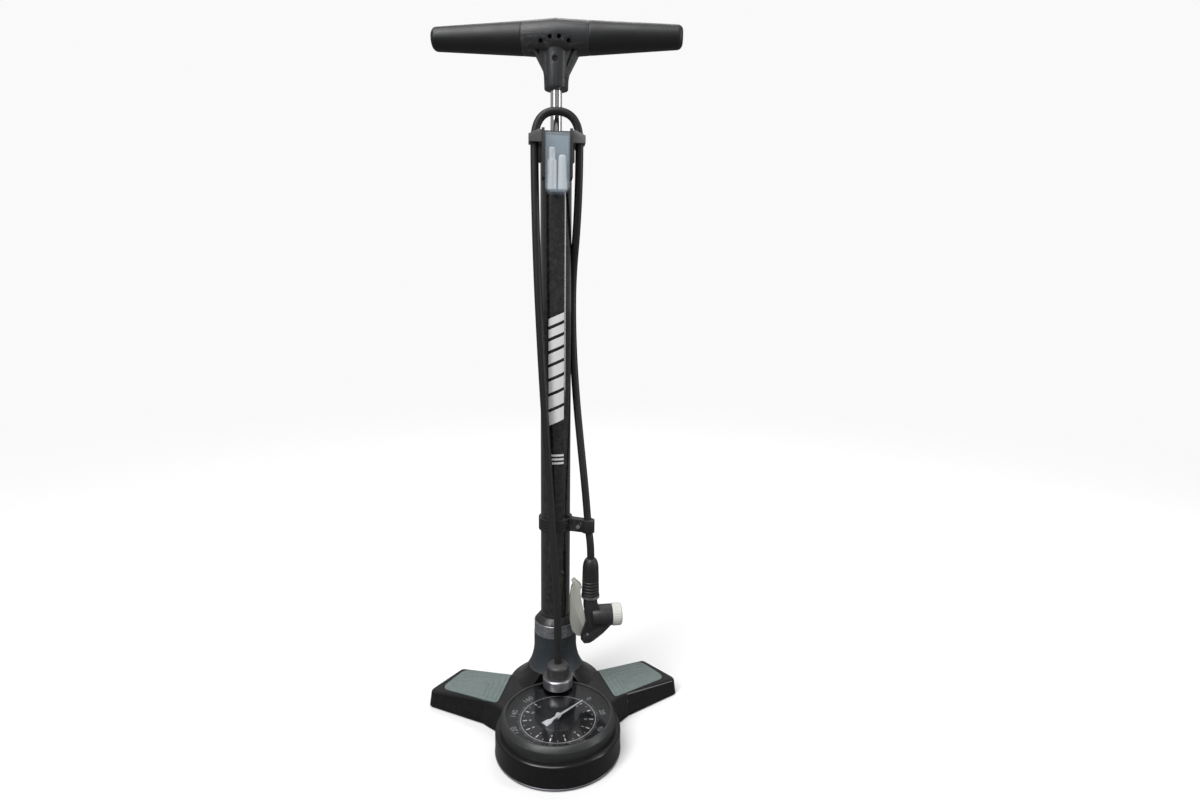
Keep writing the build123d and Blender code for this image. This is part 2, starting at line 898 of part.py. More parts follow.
with BuildPart() as rod_wiper:
    turned(
        [
            (rod_radius + running_gap, bush_top - wiper_height),
            (wiper_radius - seat_gap, bush_top - wiper_height),
            (wiper_radius - seat_gap, bush_top - 0.2),
            (rod_radius + running_gap, bush_top - 0.2),
        ]
    )
save(rod_wiper, "rod_wiper")

# --- hose bracket on the cap ------------------------------------------------------------------------
with BuildPart() as hose_bracket:
    with BuildSketch(Plane.XY.offset(bracket_ring_foot)):
        Circle(cap_radius + bracket_wall)
    extrude(amount=bracket_top - bracket_ring_foot)
    with BuildSketch(Plane.XY.offset(bracket_foot)):
        with Locations((0, 0.5 * (plate_front - 14))):
            Rectangle(2 * channel_half, abs(plate_front) - 14)
        for side in (1, -1):
            with Locations((side * (channel_half - 0.5 * rail_width), 0.5 * (rail_front - 16))):
                Rectangle(rail_width, abs(rail_front) - 16)
    extrude(amount=bracket_top - bracket_foot)
    # shoulders that carry the hose
    with BuildSketch(Plane.XZ.offset(9)):
        for side in (1, -1):
            Polygon(
                (side * (channel_half - 1), hook_foot),
                (side * hook_outer, hook_foot),
                (side * hook_outer, bracket_top - 4),
                (side * (channel_half + 3), bracket_top + 0.5),
                (side * (channel_half - 1), bracket_top + 0.5),
                align=None,
            )
    extrude(amount=16)
    with BuildSketch(Plane.XY.offset(bracket_foot)):
        Circle(barrel_radius + free_gap)
    extrude(amount=cap_foot - bracket_foot, mode=Mode.SUBTRACT)
    with BuildSketch(Plane.XY.offset(cap_foot - free_gap)):
        Circle(cap_radius + seat_gap)
    extrude(amount=bracket_top, mode=Mode.SUBTRACT)
    for side in (1, -1):
        with BuildSketch(Plane.XY.offset(hook_foot)):
            with Locations((side * hook_x, hook_y + 6)):
                Rectangle(2 * hose_radius - 1.6, 12)
        extrude(amount=30, mode=Mode.SUBTRACT)
        add(hose.part, mode=Mode.SUBTRACT)
        # groove that guides the accessory case
        with BuildSketch(Plane.XY.offset(bracket_foot)):
            with Locations((side * rail_inner, groove_y)):
                Rectangle(2 * tongue, 2.6)
        extrude(amount=bracket_top - bracket_foot, mode=Mode.SUBTRACT)
save(hose_bracket, "hose_bracket")

# --- accessory case ---------------------------------------------------------------------------------
box_y = box_back - 0.5 * box_depth


def case_front(inset):
    """Front outline of the case, with a round foot; an inset outline runs on past the open top."""
    half = box_half - inset
    foot = box_foot + inset
    top = box_top + inset
    with BuildSketch(Plane.XZ.offset(inset - box_back)) as front:
        with Locations((0, 0.5 * (foot + top))):
            Rectangle(2 * half, top - foot)
        fillet(front.vertices().sort_by(Axis.Y)[:2], box_round - inset)
    return front.sketch


with BuildPart() as accessory_case:
    extrude(case_front(0), amount=box_depth)
    fillet(accessory_case.faces().sort_by(Axis.Y)[0].edges(), box_edge)
    extrude(case_front(box_wall), amount=box_depth - 2 * box_wall, mode=Mode.SUBTRACT)
    for side in (1, -1):
        with BuildSketch(Plane.XY.offset(bracket_foot)):
            with Locations((side * (box_half + 0.4), groove_y)):
                Rectangle(1.2, 1.8)
        extrude(amount=box_top - bracket_foot)
save(accessory_case, "accessory_case")

adapter_foot = box_foot + box_wall + 2.6
with BuildPart() as ball_needle_adapter:
    turned(
        [
            (0, adapter_foot),
            (adapter_radius, adapter_foot),
            (adapter_radius, adapter_foot + 27),
            (3.2, adapter_foot + 28),
            (3.2, adapter_foot + stepped_length - 1),
            (2.4, adapter_foot + stepped_length),
            (0, adapter_foot + stepped_length),
        ],
        -adapter_x,
        box_y,
    )
    tube_end = (-adapter_x, box_y, adapter_foot + stepped_length)
    rod_between((-adapter_x, box_y, adapter_foot), tube_end, adapter_bore, Mode.SUBTRACT)
save(ball_needle_adapter, "stepped_adapter")

with BuildPart() as cone_adapter:
    turned(
        [
            (0, adapter_foot),
            (adapter_radius, adapter_foot),
            (adapter_radius, adapter_foot + 6),
            (adapter_radius - 0.6, adapter_foot + cone_length - 2),
            (adapter_radius - 1.6, adapter_foot + cone_length),
            (0, adapter_foot + cone_length),
        ],
        adapter_x,
        box_y,
    )
    cone_end = (adapter_x, box_y, adapter_foot + cone_length)
    rod_between((adapter_x, box_y, adapter_foot), cone_end, adapter_bore, Mode.SUBTRACT)
save(cone_adapter, "cone_adapter")

# --- piston and rod -----------------------------------------------------------------------------------
piston_disc_foot = piston_foot + cup_lip
stub_foot = piston_disc_foot + piston_disc_height
stub_top = rod_foot + 22
with BuildPart() as piston_body:
    turned(
        [
            (0, piston_foot + 1),
            (piston_hub - seat_gap, piston_foot + 1),
            (piston_hub - seat_gap, piston_disc_foot),
            (piston_radius, piston_disc_foot),
            (piston_radius, stub_foot),
            (rod_bore - running_gap, stub_foot),
            (rod_bore - running_gap, stub_top),
            (0, stub_top),
        ]
    )
    screw_seat = (0, 0, piston_foot + 1)
    screw_depth = (0, 0, piston_foot + 2 + piston_screw_length)
    rod_between(screw_seat, screw_depth, piston_screw_radius, Mode.SUBTRACT)
save(piston_body, "piston_body")

with BuildPart() as piston_cup:
    turned(
        [
            (piston_hub, piston_disc_foot),
            (piston_hub, piston_foot + 3.5),
            (11.2, piston_foot + 3.5),
            (13.0, piston_foot),
            (barrel_bore - running_gap, piston_foot),
            (barrel_bore - running_gap, piston_foot + 2.5),
            (barrel_bore - 0.6, piston_disc_foot),
        ]
    )
save(piston_cup, "piston_cup")

with BuildPart() as piston_screw:
    turned(
        [
            (0, piston_foot - 2.4),
            (piston_screw_head_radius, piston_foot - 2.4),
            (piston_screw_head_radius, piston_foot + 1),
            (piston_screw_radius - seat_gap, piston_foot + 1),
            (piston_screw_radius - seat_gap, piston_foot + 1 + piston_screw_length),
            (0, piston_foot + 1 + piston_screw_length),
        ]
    )
save(piston_screw, "piston_screw")

with BuildPart() as piston_rod:
    with BuildSketch(Plane.XY.offset(rod_foot)):
        Circle(rod_radius)
        Circle(rod_bore, mode=Mode.SUBTRACT)
    extrude(amount=rod_top - rod_foot)
    turn_plane = Plane.XY.rotated((0, 0, handle_turn))
    front = turn_plane.from_local_coords((0, -20, handle_screw_height))
    back = turn_plane.from_local_coords((0, 20, handle_screw_height))
    rod_between(tuple(front), tuple(back), cross_screw_radius, Mode.SUBTRACT)
save(piston_rod, "piston_rod")

with BuildPart() as stop_bumper:
    turned(
        [
            (rod_radius + seat_gap, rod_foot),
            (barrel_bore - 3, rod_foot),
            (barrel_bore - 3, rod_foot + bumper_height - 1),
            (barrel_bore - 4, rod_foot + bumper_height),
            (rod_radius + seat_gap, rod_foot + bumper_height),
        ]
    )
save(stop_bumper, "stop_bumper")

# --- handle ---------------------------------------------------------------------------------------------
handle_front = Plane((0, 0, 0), x_dir=turn_plane.x_dir, z_dir=-turn_plane.y_dir)
handle_line = Axis((0, 0, handle_axis), tuple(turn_plane.x_dir))
grip_start = hub_half + 0.2
with BuildPart() as handle_hub:
    with BuildSketch(handle_front):
        with BuildLine():
            Polyline(
                (-hub_half, handle_axis),
                (-hub_half, handle_axis + hub_end_radius),
                (0, handle_axis + hub_radius),
                (hub_half, handle_axis + hub_end_radius),
                (hub_half, handle_axis),
                close=True,
            )
        make_face()
    revolve(axis=handle_line)
    turned(
        [
            (0, handle_stem_foot),
            (stem_bottom_radius, handle_stem_foot),
            (stem_bottom_radius + 0.6, fan_neck),
            (stem_bottom_radius + 1.2, handle_axis),
            (0, handle_axis),
        ]
    )
    with BuildSketch(handle_front.offset(-fan_depth)):
        Polygon(
            (-stem_bottom_radius + 1, handle_stem_foot + 8),
            (stem_bottom_radius - 1, handle_stem_foot + 8),
            (stem_bottom_radius + 0.5, fan_neck),
            (fan_half, fan_top),
            (fan_half - 3, handle_axis),
            (-fan_half + 3, handle_axis),
            (-fan_half, fan_top),
            (-stem_bottom_radius - 0.5, fan_neck),
            align=None,
        )
    extrude(amount=2 * fan_depth)
    # grooves between the ribs of the fan, front and back
    for face in (1, -1):
        for side in (1, -1):
            with BuildSketch(handle_front.offset(face * (fan_depth + 1.5))):
                Polygon(
                    (side * (stem_bottom_radius - 0.8), fan_neck + 1),
                    (side * (fan_half - 3.2), fan_top - 1),
                    (side * (fan_half - 6.2), fan_top + 0.5),
                    (side * (stem_bottom_radius - 1.2), fan_neck + 5),
                    align=None,
                )
            extrude(amount=-face * 4.0, mode=Mode.SUBTRACT)
    # core holes along the top of the fan
    for x, drop in ((-13.5, 7.3), (-4.4, 4.1), (4.4, 4.1), (13.5, 7.3)):
        for face in (1, -1):
            with BuildSketch(handle_front.offset(face * 22)):
                with Locations((x, handle_axis - drop)):
                    Circle(2.1)
            extrude(amount=-face * 12, mode=Mode.SUBTRACT)
    with BuildSketch(Plane.XY.offset(handle_stem_foot)):
        Circle(rod_radius + seat_gap)
    extrude(amount=rod_top - handle_stem_foot, mode=Mode.SUBTRACT)
    rod_between(tuple(front), tuple(back), cross_screw_radius, Mode.SUBTRACT)
    rod_between(
        tuple(front),
        tuple(turn_plane.from_local_coords((0, -9.5, handle_screw_height))),
        2.9,
        Mode.SUBTRACT,
    )
save(handle_hub, "handle_hub")

with BuildPart() as handle_screw:
    inner = turn_plane.from_local_coords((0, -9.5, handle_screw_height))
    rod_between(tuple(inner), tuple(turn_plane.from_local_coords((0, -11.6, handle_screw_height))), 2.8)
    nut_end = tuple(turn_plane.from_local_coords((0, 10.0, handle_screw_height)))
    rod_between(tuple(inner), nut_end, cross_screw_radius - seat_gap)
save(handle_screw, "handle_screw")

for side, name in ((1, "grip_right"), (-1, "grip_left")):
    with BuildPart() as grip:
        with BuildSketch(handle_front) as grip_section:
            with BuildLine():
                Polyline(
                    (side * grip_start, handle_axis),
                    (side * grip_start, handle_axis + hub_end_radius - 0.2),
                    (side * (grip_start + 1), handle_axis + hub_end_radius),
                    (side * (grip_start + grip_length), handle_axis + grip_end_radius),
                    (side * (grip_start + grip_length), handle_axis),
                    close=True,
                )
            make_face()
            tip = grip_section.vertices().group_by(Axis.X)[-1 if side > 0 else 0]
            fillet(tip.sort_by(Axis.Y)[-1], grip_rounding)
        revolve(axis=handle_line)
    save(grip, name)

# --- chuck: the head on the hose's end ------------------------------------------------------------------
chuck_ground = Plane((head_x, head_y, 0)).rotated((0, 0, chuck_turn))
chuck_side = Plane((head_x, head_y, 0), x_dir=chuck_ground.x_dir, z_dir=-chuck_ground.y_dir)


def chuck_point(x, y, z):
    """A point of the chuck's own frame (x along the nozzle, y across) in the pump's frame."""
    return tuple(chuck_ground.from_local_coords((x, y, z)))


ring_top = ring_foot + ring_height
with BuildPart() as hose_relief:
    turned(
        [
            (0, ring_top),
            (relief_radius, ring_top),
            (8.8, relief_top - 10),
            (7.6, relief_top - 4.5),
            (hose_radius + 1.2, relief_top),
            (0, relief_top),
        ],
        head_x,
        head_y,
    )
    for step in range(4):
        groove_z = ring_top + 3 + 3.4 * step
        turned(
            [(9.0, groove_z), (11, groove_z), (11, groove_z + 1.3), (9.0, groove_z + 1.3)],
            head_x,
            head_y,
            Mode.SUBTRACT,
        )
save(hose_relief, "hose_relief")

with BuildPart() as relief_ring:
    turned(
        [(0, ring_foot), (ring_radius, ring_foot), (ring_radius, ring_top), (0, ring_top)],
        head_x,
        head_y,
    )
save(relief_ring, "relief_ring")

cheek_inner = lever_half + cheek_gap
cheek_outer = cheek_inner + cheek_wall
plunger_radius = 5.2
plunger_start = 3.0
plunger_end = 12.5
seal_start = 15.0
seal_length = 14.0
seal_radius = 8.0
with BuildPart() as chuck_body:
    # neck under the hose and the round nozzle
    with BuildSketch(Plane((head_x, head_y, 99))):
        Circle(neck_radius)
    extrude(amount=ring_foot - 99)
    rod_between(
        chuck_point(1.5, 0, nozzle_height),
        chuck_point(nozzle_shoulder, 0, nozzle_height),
        nozzle_radius,
    )
    # two cheeks that hold the lever's pin
    with BuildSketch(chuck_side.offset(-cheek_outer)):
        Polygon(
            (1, 128),
            (7, 128),
            (10, 119),
            (22, 112),
            (22, 101.5),
            (13, 92.5),
            (3, 85),
            (-1.5, 82.6),
            (-7.5, 82.6),
            (-11, 87.5),
            (-11, 93),
            align=None,
        )
    extrude(amount=2 * cheek_outer)
    # slot of the lever
    with BuildSketch(chuck_side.offset(-cheek_inner)):
        Polygon(
            (-24, 70),
            (2.2, 70),
            (2.2, 99.4),
            (-3.4, 108),
            (-6.6, 118),
            (-8.8, 131),
            (-9.5, 160),
            (-24, 160),
            align=None,
        )
    extrude(amount=2 * cheek_inner, mode=Mode.SUBTRACT)
    rod_between(
        chuck_point(pin_x, -12, pin_z),
        chuck_point(pin_x, 12, pin_z),
        pin_radius + seat_gap,
        Mode.SUBTRACT,
    )
    # bore of the plunger and seal, and the air way up to the hose
    rod_between(
        chuck_point(0, 0, nozzle_height),
        chuck_point(nozzle_shoulder + 1, 0, nozzle_height),
        plunger_radius + running_gap,
        Mode.SUBTRACT,
    )
    rod_between(
        chuck_point(seal_start, 0, nozzle_height),
        chuck_point(nozzle_shoulder + 1, 0, nozzle_height),
        seal_radius + seat_gap,
        Mode.SUBTRACT,
    )
    rod_between((head_x, head_y, nozzle_height + 4), (head_x, head_y, ring_foot), port_radius, Mode.SUBTRACT)
save(chuck_body, "chuck_body")

with BuildPart() as chuck_seal:
    rod_between(
        chuck_point(seal_start, 0, nozzle_height),
        chuck_point(seal_start + seal_length, 0, nozzle_height),
        seal_radius,
    )
    rod_between(
        chuck_point(seal_start - 1, 0, nozzle_height),
        chuck_point(seal_start + seal_length + 1, 0, nozzle_height),
        valve_bore,
        Mode.SUBTRACT,
    )
save(chuck_seal, "chuck_seal")

with BuildPart() as nozzle_nut:
    rod_between(
        chuck_point(nozzle_shoulder, 0, nozzle_height),
        chuck_point(nozzle_nut_end, 0, nozzle_height),
        nozzle_nut_radius,
    )
    rod_between(
        chuck_point(nozzle_shoulder - 1, 0, nozzle_height),
        chuck_point(seal_start + seal_length + seat_gap, 0, nozzle_height),
        seal_radius + seat_gap,
        Mode.SUBTRACT,
    )
    rod_between(
        chuck_point(seal_start, 0, nozzle_height),
        chuck_point(nozzle_nut_end + 1, 0, nozzle_height),
        valve_bore + 0.6,
        Mode.SUBTRACT,
    )
save(nozzle_nut, "nozzle_nut")

with BuildPart() as chuck_plunger:
    rod_between(
        chuck_point(plunger_start, 0, nozzle_height),
        chuck_point(plunger_end, 0, nozzle_height),
        plunger_radius,
    )
save(chuck_plunger, "chuck_plunger")

with BuildPart() as lever_pin:
    rod_between(
        chuck_point(pin_x, -cheek_outer - 0.4, pin_z),
        chuck_point(pin_x, cheek_outer + 0.4, pin_z),
        pin_radius,
    )
save(lever_pin, "lever_pin")

with BuildPart() as chuck_lever:
    with BuildSketch(chuck_side.offset(-lever_half)):
        Polygon(
            (pin_x + 3.4, pin_z - 2),
            (pin_x + 3.4, pin_z + 3.2),
            (pin_x - 1.5, pin_z + 12),
            (-6.8, 116),
            (-9.6, 127),
            (-11.2, 137),
            (-11.4, 143.4),
            (-10.2, 144.4),
            (-10.2, 147.2),
            (-17.4, 154.4),
            (-20.6, 151.4),
            (-18.6, 148.0),
            (-20.6, 144.6),
            (-22.0, 134),
            (-22.2, 106),
            (-20.2, 97),
            (-14.5, 90.5),
            (pin_x - 1, pin_z - 4),
            align=None,
        )
    extrude(amount=2 * lever_half)
    rod_between(
        chuck_point(pin_x, -12, pin_z),
        chuck_point(pin_x, 12, pin_z),
        pin_radius + running_gap,
        Mode.SUBTRACT,
    )
    # thumb recess of the channel-shaped lever, open towards the hose
    with BuildSketch(chuck_side.offset(-lever_half + 1.3)):
        Polygon((-5, 112), (-5, 136), (-12, 139), (-19.8, 134), (-19.8, 110), (-15, 104), align=None)
    extrude(amount=2 * lever_half - 2.6, mode=Mode.SUBTRACT)
save(chuck_lever, "chuck_lever")
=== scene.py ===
"""Floor pump for bicycle tyres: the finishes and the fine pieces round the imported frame.

Metres. Lengths of the pump's own pieces are written in millimetres times mm.
"""

import json
import math

import bmesh
import bpy
import numpy as np
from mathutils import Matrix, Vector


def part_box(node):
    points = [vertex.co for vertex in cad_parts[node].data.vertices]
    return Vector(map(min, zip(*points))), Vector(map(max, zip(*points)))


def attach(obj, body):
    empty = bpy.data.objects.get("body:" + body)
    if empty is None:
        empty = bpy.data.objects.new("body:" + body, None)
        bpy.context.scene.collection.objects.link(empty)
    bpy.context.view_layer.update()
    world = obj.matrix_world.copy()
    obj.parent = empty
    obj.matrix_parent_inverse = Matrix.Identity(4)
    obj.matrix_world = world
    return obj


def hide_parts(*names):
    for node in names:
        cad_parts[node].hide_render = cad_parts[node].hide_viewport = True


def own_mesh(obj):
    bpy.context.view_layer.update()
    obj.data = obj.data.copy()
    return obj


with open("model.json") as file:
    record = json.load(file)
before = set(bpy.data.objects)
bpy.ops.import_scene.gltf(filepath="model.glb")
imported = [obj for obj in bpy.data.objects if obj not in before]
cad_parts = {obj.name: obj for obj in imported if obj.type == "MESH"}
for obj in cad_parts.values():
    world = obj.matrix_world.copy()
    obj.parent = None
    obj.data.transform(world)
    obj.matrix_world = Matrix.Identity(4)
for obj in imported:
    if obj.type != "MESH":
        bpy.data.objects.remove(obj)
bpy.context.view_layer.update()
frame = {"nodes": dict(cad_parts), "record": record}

mm = 0.001
nodes = frame["nodes"]

# --- shared places ------------------------------------------------------------------------------
hose_radius = 4.0 * mm
hose_route = np.array(
    [
        (1.5, -36.0, 66.0),
        (1.5, -36.0, 100.0),
        (0.2, -33.5, 145.0),
        (-3.0, -28.0, 198.0),
        (-6.6, -24.2, 252.0),
        (-11.6, -21.8, 325.0),
        (-16.2, -20.4, 405.0),
        (-19.8, -19.4, 485.0),
        (-21.8, -18.5, 570.0),
        (-21.8, -18.5, 630.0),
        (21.8, -18.5, 630.0),
        (22.2, -17.5, 575.0),
        (21.0, -6.0, 522.0),
        (17.6, 10.6, 470.0),
        (18.2, 11.2, 410.0),
        (21.5, 5.5, 352.0),
        (26.5, -2.5, 298.0),
        (31.3, -10.5, 250.0),
        (34.4, -16.4, 208.8),
        (37.0, -20.8, 189.0),
        (37.0, -20.8, 176.0),
    ]
) * mm
head_axis = hose_route[-1, :2]
outlet_axis = hose_route[0, :2]
chuck_turn = math.radians(4.0)
nozzle_way = np.array([math.cos(chuck_turn), math.sin(chuck_turn), 0.0])
up = np.array([0.0, 0.0, 1.0])


def low(node):
    """Lowest corner of a CAD node's box."""
    return np.array(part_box(node)[0])


def high(node):
    """Highest corner of a CAD node's box."""
    return np.array(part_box(node)[1])


def middle(node):
    """Centre of a CAD node's box."""
    return 0.5 * (low(node) + high(node))


# --- shader groups --------------------------------------------------------------------------------
def group(name, inputs, outputs):
    """An empty shader node group with float inputs (name: value) and outputs (name: kind)."""
    tree = bpy.data.node_groups.new(name, "ShaderNodeTree")
    for socket, value in inputs.items():
        made = tree.interface.new_socket(socket, in_out="INPUT", socket_type="NodeSocketFloat")
        made.default_value = value
    for socket in outputs:
        tree.interface.new_socket(socket, in_out="OUTPUT", socket_type="NodeSocketFloat")
    return tree, tree.nodes.new("NodeGroupInput"), tree.nodes.new("NodeGroupOutput")


def maths(tree, operation, first, second=None, clamp=False):
    """A Math node; each operand is a socket or a number. Returns its output."""
    node = tree.nodes.new("ShaderNodeMath")
    node.operation = operation
    node.use_clamp = clamp
    for slot, value in zip(node.inputs, (first, second)):
        if hasattr(value, "is_output"):
            tree.links.new(value, slot)
        elif value is not None:
            slot.default_value = value
    return node.outputs[0]


def noise(tree, vector, scale, detail=3.0, roughness=0.5):
    """A Noise Texture on a vector; scale is a socket or a number. Returns its factor."""
    node = tree.nodes.new("ShaderNodeTexNoise")
    node.inputs["Detail"].default_value = detail
    node.inputs["Roughness"].default_value = roughness
    tree.links.new(vector, node.inputs["Vector"])
    if hasattr(scale, "is_output"):
        tree.links.new(scale, node.inputs["Scale"])
    else:
        node.inputs["Scale"].default_value = scale
    return node.outputs["Fac"]


def grain_group():
    """Moulded grain: fine rounded cells plus noise as a height, and slow cloudy mottling."""
    scales = {"Cell Scale": 2500.0, "Cloud Scale": 30.0}
    tree, given, out = group("moulded_grain", scales, ("Height", "Mottle"))
    where = tree.nodes.new("ShaderNodeTexCoord").outputs["Object"]
    cells = tree.nodes.new("ShaderNodeTexVoronoi")
    tree.links.new(where, cells.inputs["Vector"])
    tree.links.new(given.outputs["Cell Scale"], cells.inputs["Scale"])
    fine = noise(tree, where, given.outputs["Cell Scale"], 4.0, 0.6)
    height = maths(tree, "ADD", maths(tree, "MULTIPLY", cells.outputs["Distance"], 0.6), fine)
    tree.links.new(height, out.inputs["Height"])
    tree.links.new(noise(tree, where, given.outputs["Cloud Scale"], 5.0, 0.62), out.inputs["Mottle"])
    return tree


def wear_group():
    """Edge wear: where the surface is sharply convex, broken up by noise."""
    tree, given, out = group("edge_wear", {"Reach": 1.0, "Breakup Scale": 220.0}, ("Mask",))
    where = tree.nodes.new("ShaderNodeTexCoord").outputs["Object"]
    convex = tree.nodes.new("ShaderNodeNewGeometry").outputs["Pointiness"]
    edge = maths(tree, "MULTIPLY", maths(tree, "SUBTRACT", convex, 0.515), 9.0, clamp=True)
    broken = maths(tree, "SUBTRACT", noise(tree, where, given.outputs["Breakup Scale"], 6.0, 0.7), 0.42)
    worn = maths(tree, "MULTIPLY", edge, maths(tree, "MULTIPLY", broken, 5.0, clamp=True))
    tree.links.new(maths(tree, "MULTIPLY", worn, given.outputs["Reach"], clamp=True), out.inputs["Mask"])
    return tree


def dust_group():
    """Dust: on what faces up, thinner on slopes, in soft patches."""
    tree, given, out = group("settled_dust", {"Amount": 0.2, "Patch Scale": 45.0}, ("Mask",))
    where = tree.nodes.new("ShaderNodeTexCoord").outputs["Object"]
    facing = tree.nodes.new("ShaderNodeSeparateXYZ")
    tree.links.new(tree.nodes.new("ShaderNodeNewGeometry").outputs["Normal"], facing.inputs[0])
    lying = maths(tree, "POWER", maths(tree, "MAXIMUM", facing.outputs["Z"], 0.0), 3.0)
    patch = noise(tree, where, given.outputs["Patch Scale"], 7.0, 0.7)
    amount = maths(tree, "MULTIPLY", patch, given.outputs["Amount"])
    film = maths(tree, "MULTIPLY", lying, amount, clamp=True)
    tree.links.new(film, out.inputs["Mask"])
    return tree


def smudge_group():
    """Handling marks: long faint streaks of a rougher polish."""
    tree, given, out = group("handling_marks", {"Streak Scale": 35.0}, ("Mask",))
    where = tree.nodes.new("ShaderNodeTexCoord").outputs["Object"]
    stretch = tree.nodes.new("ShaderNodeMapping")
    stretch.inputs["Scale"].default_value = (1.0, 1.0, 0.22)
    tree.links.new(where, stretch.inputs["Vector"])
    streak = noise(tree, stretch.outputs["Vector"], given.outputs["Streak Scale"], 8.0, 0.66)
    mask = maths(tree, "MULTIPLY", maths(tree, "SUBTRACT", streak, 0.45), 4.0, clamp=True)
    tree.links.new(mask, out.inputs["Mask"])
    return tree


def lathe_group():
    """Lathe lines: fine rings along the piece's height, from noise stretched round the axis."""
    tree, given, out = group("lathe_lines", {"Line Scale": 60.0}, ("Height",))
    where = tree.nodes.new("ShaderNodeTexCoord").outputs["Object"]
    stretch = tree.nodes.new("ShaderNodeMapping")
    stretch.inputs["Scale"].default_value = (0.6, 0.6, 60.0)
    tree.links.new(where, stretch.inputs["Vector"])
    lines = noise(tree, stretch.outputs["Vector"], given.outputs["Line Scale"], 3.0, 0.6)
    tree.links.new(lines, out.inputs["Height"])
    return tree


grain = grain_group()
wear = wear_group()
dust = dust_group()
smudges = smudge_group()
lathe = lathe_group()


# --- materials --------------------------------------------------------------------------------------
def use(tree, made, **values):
    """Place a node group in a material's tree with its own values (underscores for spaces)."""
    node = tree.nodes.new("ShaderNodeGroup")
    node.node_tree = made
    for name, value in values.items():
        node.inputs[name.replace("_", " ")].default_value = value
    return node.outputs


def blend_colour(tree, factor, first, second):
    """A colour mix; first and second are sockets or RGB triples. Returns the colour."""
    node = tree.nodes.new("ShaderNodeMix")
    node.data_type = "RGBA"
    tree.links.new(factor, node.inputs["Factor"])
    for slot, value in ((node.inputs[6], first), (node.inputs[7], second)):
        if hasattr(value, "is_output"):
            tree.links.new(value, slot)
        else:
            slot.default_value = (*value, 1.0)
    return node.outputs[2]


def bare(name, roughness=0.5, metallic=0.0, coat=0.0, coat_roughness=0.08, ior=1.5, specular=0.5):
    """A material with only its Principled shader; the numbers go straight on its sockets."""
    material = bpy.data.materials.new(name)
    material.use_nodes = True
    tree = material.node_tree
    shader = tree.nodes["Principled BSDF"]
    shader.inputs["Roughness"].default_value = roughness
    shader.inputs["Metallic"].default_value = metallic
    shader.inputs["Coat Weight"].default_value = coat
    shader.inputs["Coat Roughness"].default_value = coat_roughness
    shader.inputs["IOR"].default_value = ior
    shader.inputs["Specular IOR Level"].default_value = specular
    return material, tree, shader


def finish(
    name,
    colour,
    clouded,
    roughness,
    spread=0.12,
    cell=2500.0,
    depth=0.02,
    worn=None,
    reach=0.5,
    dusty=0.15,
    rings=False,
    **shader_values,
):
    """A finish: clouded colour, edge wear, dust, uneven polish, and grain or lathe lines as bump.

    depth is the bump's height in millimetres; worn is the colour that the edges wear to.
    """
    material, tree, shader = bare(name, roughness, **shader_values)
    surface = use(tree, grain, Cell_Scale=cell, Cloud_Scale=28.0)
    painted = blend_colour(tree, surface["Mottle"], colour, clouded)
    if worn:
        painted = blend_colour(tree, use(tree, wear, Reach=reach)["Mask"], painted, worn)
    film = use(tree, dust, Amount=dusty)["Mask"]
    painted = blend_colour(tree, film, painted, (0.3, 0.3, 0.3))
    tree.links.new(painted, shader.inputs["Base Color"])
    marks = maths(tree, "MULTIPLY", use(tree, smudges)["Mask"], spread)
    polish = maths(tree, "ADD", maths(tree, "ADD", marks, maths(tree, "MULTIPLY", film, 0.5)), roughness)
    tree.links.new(polish, shader.inputs["Roughness"])
    height = use(tree, lathe)["Height"] if rings else surface["Height"]
    bump = tree.nodes.new("ShaderNodeBump")
    bump.inputs["Strength"].default_value = 0.6
    bump.inputs["Distance"].default_value = depth * mm
    tree.links.new(height, bump.inputs["Height"])
    tree.links.new(bump.outputs["Normal"], shader.inputs["Normal"])
    return material


def clear(name, colour, roughness, transmission, dusty, alpha=1.0):
    """A clear moulding: plain transmission or see-through cover, a faint tint, and handling marks."""
    material, tree, shader = bare(name, roughness, ior=1.49)
    shader.inputs["Transmission Weight"].default_value = transmission
    shader.inputs["Alpha"].default_value = alpha
    film = use(tree, dust, Amount=dusty)["Mask"]
    tree.links.new(blend_colour(tree, film, colour, (0.75, 0.78, 0.8)), shader.inputs["Base Color"])
    marks = maths(tree, "MULTIPLY", use(tree, smudges)["Mask"], 0.05)
    tree.links.new(maths(tree, "ADD", marks, roughness), shader.inputs["Roughness"])
    return material


